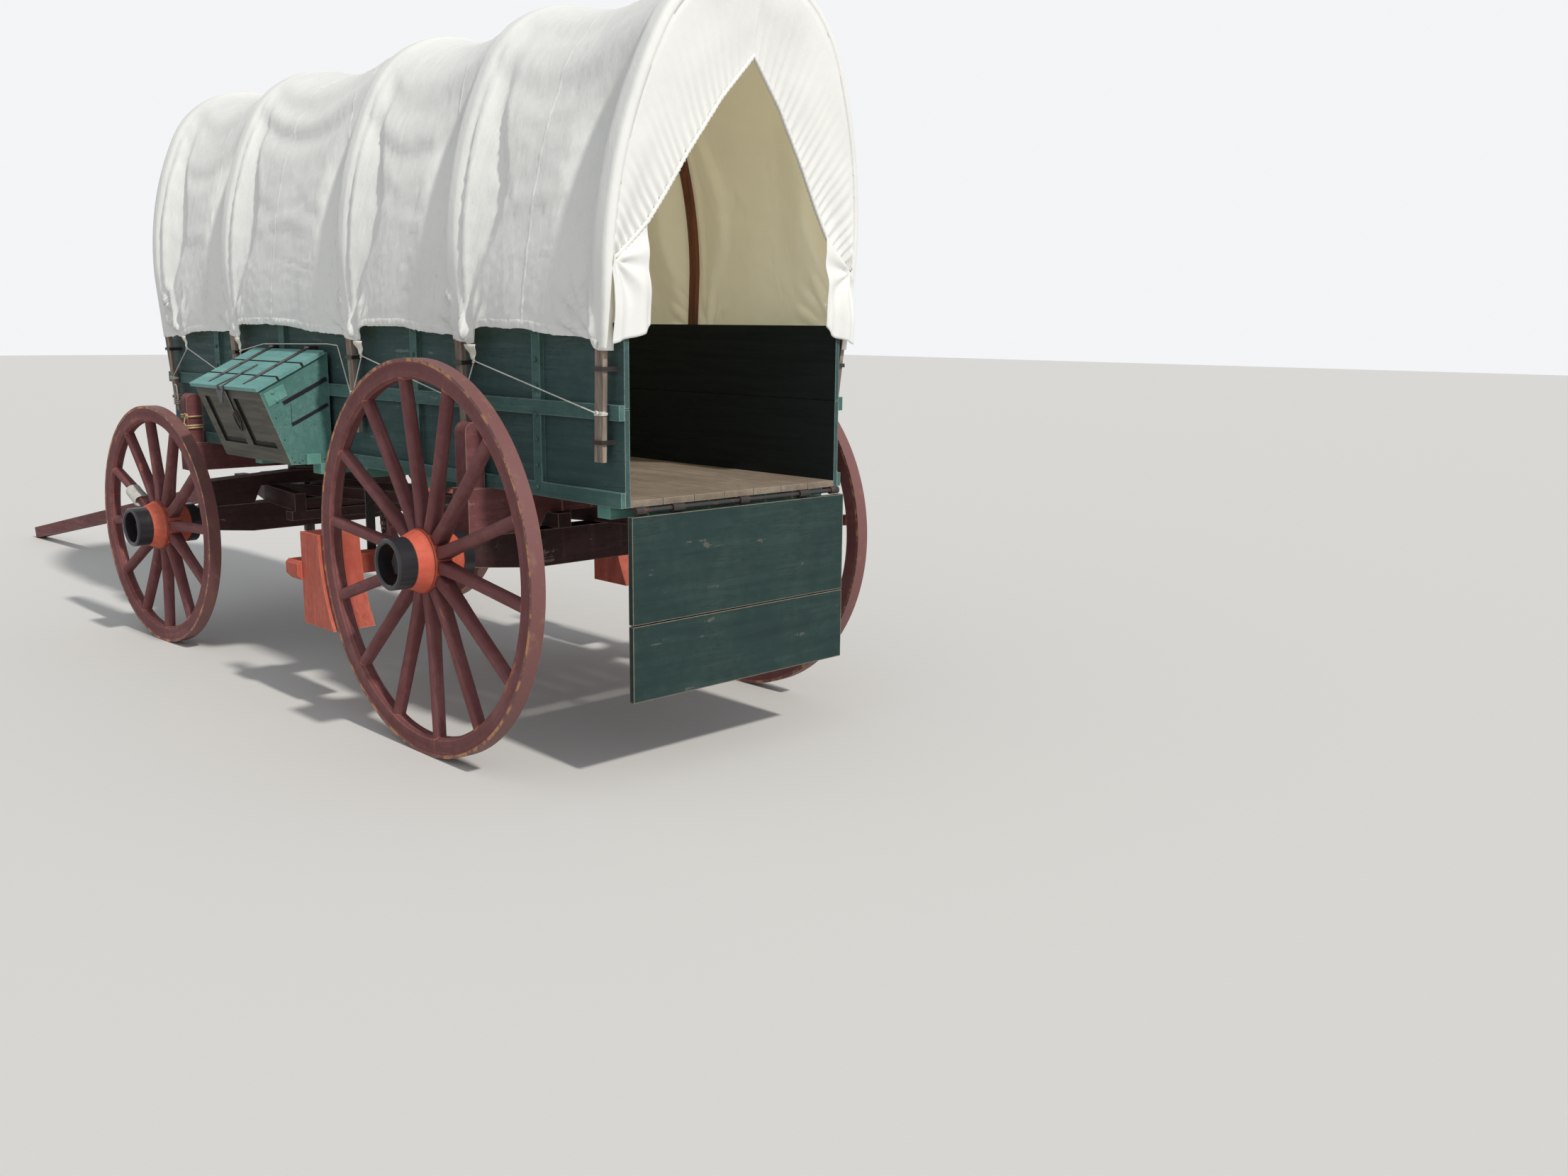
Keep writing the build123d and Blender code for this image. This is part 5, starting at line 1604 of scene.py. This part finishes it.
# %% Lashings
STAKE_LEFT = (0.530, 0.605)
STAKE_HALF = 0.035
STAKE_ALONG = 2.490
LASH_R = 0.0050
LASH_SEED = 3
FRONT_ROPE_R = 0.0042
HAIRS = 12


def wrap_stake(up, turns, pitch, start=0.0):
    """Turns of rope round the left front stake."""
    middle = (STAKE_LEFT[0] + STAKE_LEFT[1]) / 2
    deep = (STAKE_LEFT[1] - STAKE_LEFT[0]) / 2 + LASH_R

    def spot(ahead, out, done):
        along = STAKE_ALONG + (STAKE_HALF + LASH_R) * ahead
        return place(along, middle + deep * out, up + pitch * done)

    return wound(turns, 32, 5, spot, start)


def frayed_end(start, way, long):
    """A short rope's end that hangs and opens into a tuft."""
    rng = random.Random(LASH_SEED)
    down = Vector((0, 0, -long))
    paths = [soft_curve([start, start + way * 0.3 + down * 0.2, start + way * 0.5 + down * 0.6])]
    tuft = paths[0][-1]
    for hair in range(HAIRS):
        drift = Vector((rng.uniform(-1, 1), rng.uniform(-1, 1), -1.6)).normalized() * long
        paths.append(soft_curve([tuft, tuft + drift * 0.2, tuft + drift * 0.35 + down * 0.1]))
    return paths


stake_lash = [wrap_stake(1.022, 2.2, 0.011), wrap_stake(1.078, 1.2, 0.010, 1.0)]
rope_piece("stake_lashing", stake_lash, LASH_R, manila)
knot_spot = place(STAKE_ALONG - 0.042, STAKE_LEFT[1] + 0.008, 1.083)
knot_paths = [knot(knot_spot, 0.011)] + frayed_end(knot_spot, Vector((-0.020, 0.030, 0.0)), 0.050)
tube_piece("stake_knot", knot_paths, 0.0032, manila, sides=6)
front_wrap = []
for up, turns in ((1.128, 2.4), (1.160, 2.0)):
    front_wrap.append(wrap_leg(4, 1, up, turns, FRONT_ROPE_R, 0.0098))
rope_piece("front_bow_rope", front_wrap, FRONT_ROPE_R, grey_rope)
along, left = leg_place(4, 1.16)
hanging = [(-0.030, 0.010, 1.168), (-0.036, 0.020, 1.215), (-0.060, 0.018, 1.222)]
hanging.append((-0.068, 0.016, 1.150))
hanging = [place(along + ahead, left + out, up) for ahead, out, up in hanging]
tube_piece("front_bow_rope_end", [soft_curve(hanging)], 0.0036, grey_rope, sides=6)
print("lashings", len(stake_lash) + len(front_wrap))

# %% [markdown]
# ## Toolbox details
# The toolbox's rear end has two long slots that slope like its lid, joined by a thin line, with
# black plates in them as painted shade for their shadow; it also has a riveted corner plate and
# a small ledge at its foot. A forked hasp runs down the middle of the lid, over the lip, to a
# staple on the face. The hasp rides with the lid.


# %% Plates and bolts
def plates(name, shapes, material, body="wagon", round_off=0.0008):
    """Plates with slightly rounded edges. shapes holds pairs of an outline and a thickness."""
    points, faces = [], []
    for outline, deep in shapes:
        first, count = len(points), len(outline)
        points += outline + [spot + deep for spot in outline]
        faces.append(tuple(range(first + count - 1, first - 1, -1)))
        faces.append(tuple(range(first + count, first + 2 * count)))
        faces += ring_faces(first, 2, count)
    piece = made_piece(name, points, faces, material, body, smooth_faces=False)
    bevel = piece.modifiers.new("bevel", "BEVEL")
    bevel.width = round_off
    bevel.segments = 2
    bevel.limit_method = "ANGLE"
    bake(piece)


# Rings of a bolt head from its foot: share of its radius, share of its height
DOME = [(1.0, -0.1), (1.0, 0.25), (0.90, 0.62), (0.62, 0.90), (0.25, 1.0)]
FLAT = [(1.0, -0.1), (1.0, 0.85), (0.9, 1.0), (0.3, 1.0)]


def add_head(points, faces, spot, out, radius, high, sides=12, rings=DOME):
    """A bolt head: a dome, or a nut with flat sides, that stands on a face."""
    over = out.cross(Vector((0.31, 0.17, 0.93))).normalized()
    up = out.cross(over)
    first = len(points)
    for wide, lift in rings:
        for corner in range(sides):
            turn = 2 * math.pi * corner / sides
            arm = math.cos(turn) * over + math.sin(turn) * up
            points.append(spot + arm * radius * wide + out * high * lift)
    faces += ring_faces(first, len(rings), sides)
    faces.append(tuple(range(len(points) - sides, len(points))))


def heads(name, spots, out, radius, high, material, body="wagon", sides=12):
    points, faces = [], []
    for spot in spots:
        add_head(points, faces, spot, out, radius, high, sides)
    made_piece(name, points, faces, material, body)


# The toolbox's rear and front ends along the wagon, then left and up of its profile's corners
CHEST_REAR = 1.140
CHEST_FRONT = 1.780
CHEST_TOP = (0.524, 1.415)
LIP = (0.826, 1.262)
CHEST_FOOT = (0.705, 0.955)
LID_LIFT = 0.017
LID_LONG = math.dist(LIP, CHEST_TOP) + 0.010


def slope(start, end):
    """The direction from one corner of the profile to the next, and the way out from it."""
    down = Vector((0.0, end[0] - start[0], end[1] - start[1])).normalized()
    return down, Vector((0.0, -down.z, down.y))


LID_DOWN, LID_OUT = slope(CHEST_TOP, LIP)
FACE_DOWN, FACE_OUT = slope(LIP, CHEST_FOOT)
AHEAD = Vector((1, 0, 0))


def on_lid(along, down, lift=0.0):
    """A place on the lid's upper face: along the wagon, and down the slope from its top."""
    return place(along, *CHEST_TOP) + LID_DOWN * down + LID_OUT * (LID_LIFT + lift)


def on_face(along, down, lift):
    return place(along, *LIP) + FACE_DOWN * down + FACE_OUT * lift


def on_end(corners, ahead=0.0005):
    """Places on the toolbox's rear end, or just within it, from pairs of left and up."""
    return [place(CHEST_REAR + ahead, left, up) for left, up in corners]


def bar(start, end, wide_start, wide_end):
    """Corners of a flat bar from one place to another on a plane."""
    a, b = Vector(start), Vector(end)
    way = (b - a).normalized()
    over = Vector((-way.y, way.x))
    return [a - over * wide_start / 2, b - over * wide_end / 2,
            b + over * wide_end / 2, a + over * wide_start / 2]


# %% [markdown]
# The outer face is bare grey board, darkened as painted shade for the shade it stands in. Its
# two sunk panels get darker painted shade: on their walls, and in a band along the foot and the
# front edge of each. The lid's two board gaps are painted dark too, as painted shade.

# %% Chest paint
CHEST_LONG = CHEST_FRONT - CHEST_REAR
STILE = 0.062
PANEL_LONG = (CHEST_LONG - 3 * STILE) / 2
PANEL_FOOT = 0.070
PANEL_DEEP = 0.016
WALL_T = 0.030
SHADE_BAND = 0.020
# Painted shade: the tone of the shadow in the sunk panels and the lid's gaps
PAINTED_SHADE_TONE = (0.016, 0.016, 0.014)
BOARD_GAPS = [0.1262, 0.2454]
GAP_WIDE = 0.0050
GAP_EDGE = 0.0028


def measured(finish, start, way):
    """How far a point lies from a place, along a direction."""
    x, y, z = finish.parts(finish.position())
    return x * way.x + y * way.y + z * way.z - start.dot(way)


def between_two(value, low, high):
    return value.over(low) * (1 - value.over(high))


def panel_painted_shade(finish):
    """The walls, the foot and the front edge of the sunk panels, where painted shade goes."""
    foot = place(0, *CHEST_FOOT)
    sunk = between_two(measured(finish, foot, FACE_OUT), -PANEL_DEEP, -0.0008)
    up = measured(finish, foot, FACE_DOWN * -1)
    ahead = measured(finish, place(CHEST_REAR, 0, 0), AHEAD)
    soft = finish.noise(finish.position(), 30.0, 3.0) * 0.010
    low = 1 - (up - soft).over(PANEL_FOOT + SHADE_BAND * 0.8)
    band_shade = 0.0
    for first in (STILE, 2 * STILE + PANEL_LONG):
        last = first + PANEL_LONG
        along_front = between_two(ahead + soft, last - SHADE_BAND, last + 0.02)
        band_shade = along_front.top(between_two(ahead, first, last) * low) + band_shade
    return sunk * band_shade


def chest_face(finish):
    """The outer face, its sunk panels and their walls, which take the grey board darkened with
    painted shade.
    """
    deep = measured(finish, place(0, *CHEST_FOOT), FACE_OUT)
    ahead = measured(finish, place(CHEST_REAR, 0, 0), AHEAD)
    inside_ends = between_two(ahead, WALL_T, CHEST_LONG - WALL_T)
    return facing(1)(finish).top(between_two(deep, -PANEL_DEEP, 0.01) * inside_ends)


# Painted shade: dark in the lid's board gaps and a little onto their edges
def lid_gap_shade(finish):
    down = measured(finish, place(0, *CHEST_TOP), LID_DOWN)
    gaps = 0.0
    for start in BOARD_GAPS:
        gaps = between_two(down, start - GAP_EDGE, start + GAP_WIDE + GAP_EDGE) + gaps
    return gaps


face_tones = [(GREY_BOARD_IN_SHADE, chest_face), (PAINTED_SHADE_TONE, panel_painted_shade)]
lid_tones = [(PAINTED_SHADE_TONE, lid_gap_shade)]
dress(painted("chest_board", CHEST_TEAL, TEAL_WORN, along_x, 0.3, others=face_tones), "toolbox")
dress(painted("lid_board", LID_TEAL, TEAL_WORN, along_x, 0.3, others=lid_tones), "toolbox_lid")

# %% The toolbox's rear end
UPPER_SLOT = bar((0.727, 1.211), (0.534, 1.307), 0.017, 0.017)
LOWER_SLOT = bar((0.694, 1.122), (0.534, 1.200), 0.014, 0.014)
SLOT_LINE = bar((0.6925, 1.205), (0.6935, 1.124), 0.0025, 0.0025)
CORNER_PLATE = [(0.806, 1.250), (0.722, 1.288), (0.706, 1.240), (0.786, 1.196)]
LEDGE = [(0.646, 0.9555), (0.585, 0.9555), (0.585, 0.998), (0.646, 0.998)]
NAILS = [(0.700, 0.984), (0.656, 0.972), (0.670, 0.9625), (0.690, 0.9660)]
NAILS += [(0.560, 0.972), (0.760, 1.150), (0.728, 1.060)]
# Painted shade: black plates for the shadow in the end's slots
dark = [(UPPER_SLOT, 0.004), (LOWER_SLOT, 0.004), (SLOT_LINE, 0.0016)]
teal = [(CORNER_PLATE, 0.003), (LEDGE, 0.022)]
for name, shapes, material in (
    ("toolbox_end_slot_shade", dark, black_iron),
    ("toolbox_trim", teal, chest_paint),
):
    plates(name, [(on_end(corners), AHEAD * -deep) for corners, deep in shapes], material)
bolt_spots = on_end([(0.770, 1.255), (0.751, 1.222)], -0.002)
heads("toolbox_bolts", bolt_spots, -AHEAD, 0.0085, 0.0055, chest_paint)
heads("toolbox_nails", on_end(NAILS, 0.0), -AHEAD, 0.0032, 0.0012, dark_iron, sides=8)

# %% The hasp
HASP_ALONG = 1.462
FORK_ALONG = HASP_ALONG + 0.004
PLATE_T = 0.0038
PLATE_UP = 0.0002
LID_IRON = {"material": black_iron, "body": "toolbox_lid"}
hasp = []
for start, end, wide_start, wide_end in (
    ((HASP_ALONG, 0.165), (FORK_ALONG, 0.235), 0.012, 0.028),
    ((FORK_ALONG, 0.232), (HASP_ALONG - 0.022, LID_LONG), 0.015, 0.015),
    ((FORK_ALONG, 0.232), (HASP_ALONG + 0.030, LID_LONG), 0.015, 0.015),
):
    corners = bar(start, end, wide_start, wide_end)
    outline = [on_lid(along, down, PLATE_UP) for along, down in corners]
    hasp.append((outline, LID_OUT * PLATE_T))
lip_edge = on_lid(HASP_ALONG, LID_LONG)
for start, corners in (
    ((-0.0295, 0, 0), ((0.015, 0, 0), (0.015, 0.001, -0.028), (0, 0.001, -0.028))),
    ((0.0225, 0, 0), ((0.015, 0, 0), (0.015, 0.001, -0.028), (0, 0.001, -0.028))),
    ((-0.0295, 0.001, -0.022), ((0.067, 0, 0), (0.048, -0.004, -0.052), (0.019, -0.004, -0.052))),
):
    top = lip_edge + Vector(start) + LID_OUT * 0.004
    hasp.append(([top] + [top + Vector(corner) for corner in corners], LID_DOWN * PLATE_T))
plates("toolbox_hasp", hasp, **LID_IRON)
rivets = [on_lid(HASP_ALONG, 0.185, 0.004), on_lid(HASP_ALONG + 0.003, 0.222, 0.004)]
heads("hasp_rivets", rivets, LID_OUT, 0.004, 0.002, sides=8, **LID_IRON)
print("hasp plates", len(hasp))

# %% [markdown]
# ## Small irons
# Round bolt heads stand on the cleats of the sides. Square nuts on washers stand on the rear
# bolster and the rear axle, placed from the boxes of those two pieces.

# %% Bolts
CLEATS = [-0.355, 0.450, 1.570, 2.260]
SIDE_LEFT = 0.524
CLEAT_BOLTS_UP = [0.985, 1.062, 1.150, 1.236, 1.330, 1.420, 1.515]
for side, side_name in SIDES:
    spots = []
    for along in CLEATS:
        if side < 0 or not CHEST_REAR - 0.03 < along < CHEST_FRONT + 0.03:
            spots += [place(along, side * SIDE_LEFT, up) for up in CLEAT_BOLTS_UP]
    heads(f"side_bolts_{side_name}", spots, Vector((0, side, 0)), 0.0085, 0.0045, rail_paint)

NUT_R = 0.014
NUT_HIGH = 0.011
tail_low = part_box("rear_bolster")[0]
axle_low, axle_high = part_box("rear_axle")
nut_spots = [(tail_low[0], left, tail_low[2] + 0.045) for left in (-0.44, -0.18, 0.18, 0.44)]
nut_spots += [(axle_low[0], left, axle_high[2] - 0.040) for left in (-0.50, -0.30, 0.30, 0.50)]
points, faces = [], []
for spot in nut_spots:
    spot = Vector(spot)
    add_head(points, faces, spot, -AHEAD, NUT_R * 1.45, NUT_HIGH * 0.3, 14, FLAT)
    add_head(points, faces, spot - AHEAD * NUT_HIGH * 0.25, -AHEAD, NUT_R, NUT_HIGH, 4, FLAT)
made_piece("rear_gear_nuts", points, faces, dark_iron, smooth_faces=False)

# %% [markdown]
# The lid of the toolbox is three boards, so there are two gaps across it, each darkened by a
# black strip sunk in it as painted shade. Its hinge straps end in long points.

# %% Lid boards
STRAPS_ALONG = [CHEST_REAR + 0.150, CHEST_REAR + 0.490]
# A strap's end on the right: half its width, and how far down the lid
STRAP_END = [(0.017, 0.272), (0.009, 0.300), (0.006, 0.318)]
STRAP_TIP = [(0.0, 0.326)]
STRAP_T = 0.0036
LID_PAST = 0.0115
GAP_DEEP = 0.0048
rear, front = CHEST_REAR - LID_PAST, CHEST_FRONT + LID_PAST
# Painted shade: a black strip sunk in each board gap
gaps = []
for down in BOARD_GAPS:
    low, high = down + 0.0002, down + GAP_WIDE - 0.0002
    corners = [(rear, low), (front, low), (front, high), (rear, high)]
    gaps.append(([on_lid(*corner, -GAP_DEEP) for corner in corners], LID_OUT * 0.0020))
plates("lid_gap_shade_strips", gaps, round_off=0.0001, **LID_IRON)
outline = [(-STRAP_END[0][0], STRAP_END[0][1])] + STRAP_END + STRAP_TIP
outline += [(-half, down) for half, down in reversed(STRAP_END[1:])]
tips, strap_bolts = [], []
for along in STRAPS_ALONG:
    corners = [on_lid(along + across, down, PLATE_UP) for across, down in outline]
    tips.append((corners, LID_OUT * STRAP_T))
    strap_bolts += [on_lid(along, down, PLATE_T) for down in (0.060, 0.165, 0.262)]
plates("lid_strap_tips", tips, **LID_IRON)
heads("lid_strap_bolts", strap_bolts, LID_OUT, 0.0070, 0.0035, **LID_IRON)

# %% [markdown]
# A light cord is wound round the middle of one spoke of the left front wheel, and turns with
# it. The brake's chain hangs in a bight from the rear hounds.

# %% Spoke wrap and chain
WRAP_SPOKE = math.radians(63.0)
WRAP_REACH = 0.215
WRAP_LONG = 0.105
WRAP_TURNS = 9
WRAP_R = 0.0042
SPOKE_HALF = (0.0224, 0.0275)


def wrap_spoke(across, deep, done):
    """A place on the cord round a spoke. The wheel stands turned by the steering."""
    c, s = math.cos(WRAP_SPOKE), math.sin(WRAP_SPOKE)
    spot = Vector((s, 0, c)) * (WRAP_REACH + WRAP_LONG * done / WRAP_TURNS)
    spot += Vector((c, 0, -s)) * (SPOKE_HALF[0] + WRAP_R) * across
    spot += Vector((0, 1, 0)) * (SPOKE_HALF[1] + WRAP_R) * deep
    return box_middle("front_left_tyre") + Matrix.Rotation(STEER, 3, "Z") @ spot


wrap = wound(WRAP_TURNS, 24, 2.6, wrap_spoke)
tube_piece("spoke_wrap", [wrap], WRAP_R, white_cord, "front_left_wheel", sides=7)

LINK_STEPS = 16
LINK_SIDES = 6
CHAIN_ENDS = ((1.640, 0.044, 0.755), (1.600, 0.044, 0.755))
CHAIN_DROP = 0.200
CHAIN_LINKS = 16
CHAIN_WIDE = 0.0085
CHAIN_THICK = 0.0028
LINK_SHARE = 0.66


def chain_link(points, faces, middle, along, across, long, wide, thick):
    """One oval link, a closed ring of tube. long and wide are half its sizes."""
    faces += ring_faces(len(points), LINK_STEPS, LINK_SIDES, closed=True)
    up = along.cross(across).normalized()
    for step in range(LINK_STEPS):
        turn = 2 * math.pi * step / LINK_STEPS
        c, s = math.cos(turn), math.sin(turn)
        out = (along * c / long + across * s / wide).normalized()
        for corner in range(LINK_SIDES):
            angle = 2 * math.pi * corner / LINK_SIDES
            arm = out * math.cos(angle) + up * math.sin(angle)
            points.append(middle + along * long * c + across * wide * s + arm * thick)


def hang_chain(name):
    """Links that hang in a bight, every second one turned by a quarter."""
    points, faces = [], []
    start, end = [place(*spot) for spot in CHAIN_ENDS]
    spots = []
    for index in range(CHAIN_LINKS + 1):
        share = index / CHAIN_LINKS
        spot = start.lerp(end, share)
        spot.z -= CHAIN_DROP * (1 - (2 * share - 1) ** 4)
        spots.append(spot)
    for index, (a, b) in enumerate(zip(spots, spots[1:])):
        way = (b - a).normalized()
        side = way.cross(Vector((0.9, 0.4, 0.1))).normalized()
        across = side if index % 2 else way.cross(side)
        size = (b - a).length * LINK_SHARE, CHAIN_WIDE, CHAIN_THICK
        chain_link(points, faces, (a + b) / 2, way, across, *size)
    made_piece(name, points, faces, dark_iron)


# The hasp's strap down the face, and the rings that hang in its staple
strap = []
for ahead, down in ((-0.006, 0.012), (0.012, 0.012), (0.012, 0.118), (0.0, 0.118)):
    strap.append(on_face(HASP_ALONG + ahead, down, 0.0025))
plates("hasp_strap", [(strap, FACE_OUT * 0.004)], **LID_IRON)
points, faces = [], []
for ahead, down, long, wide, thick in (
    (0.006, 0.150, 0.042, 0.017, 0.0042),
    (-0.014, 0.130, 0.030, 0.016, 0.0036),
):
    middle = on_face(HASP_ALONG + ahead, down, 0.008)
    chain_link(points, faces, middle, FACE_DOWN, AHEAD, long, wide, thick)
made_piece("hasp_rings", points, faces, dark_iron, "toolbox_lid")
hang_chain("brake_chain")
print("small irons ready")
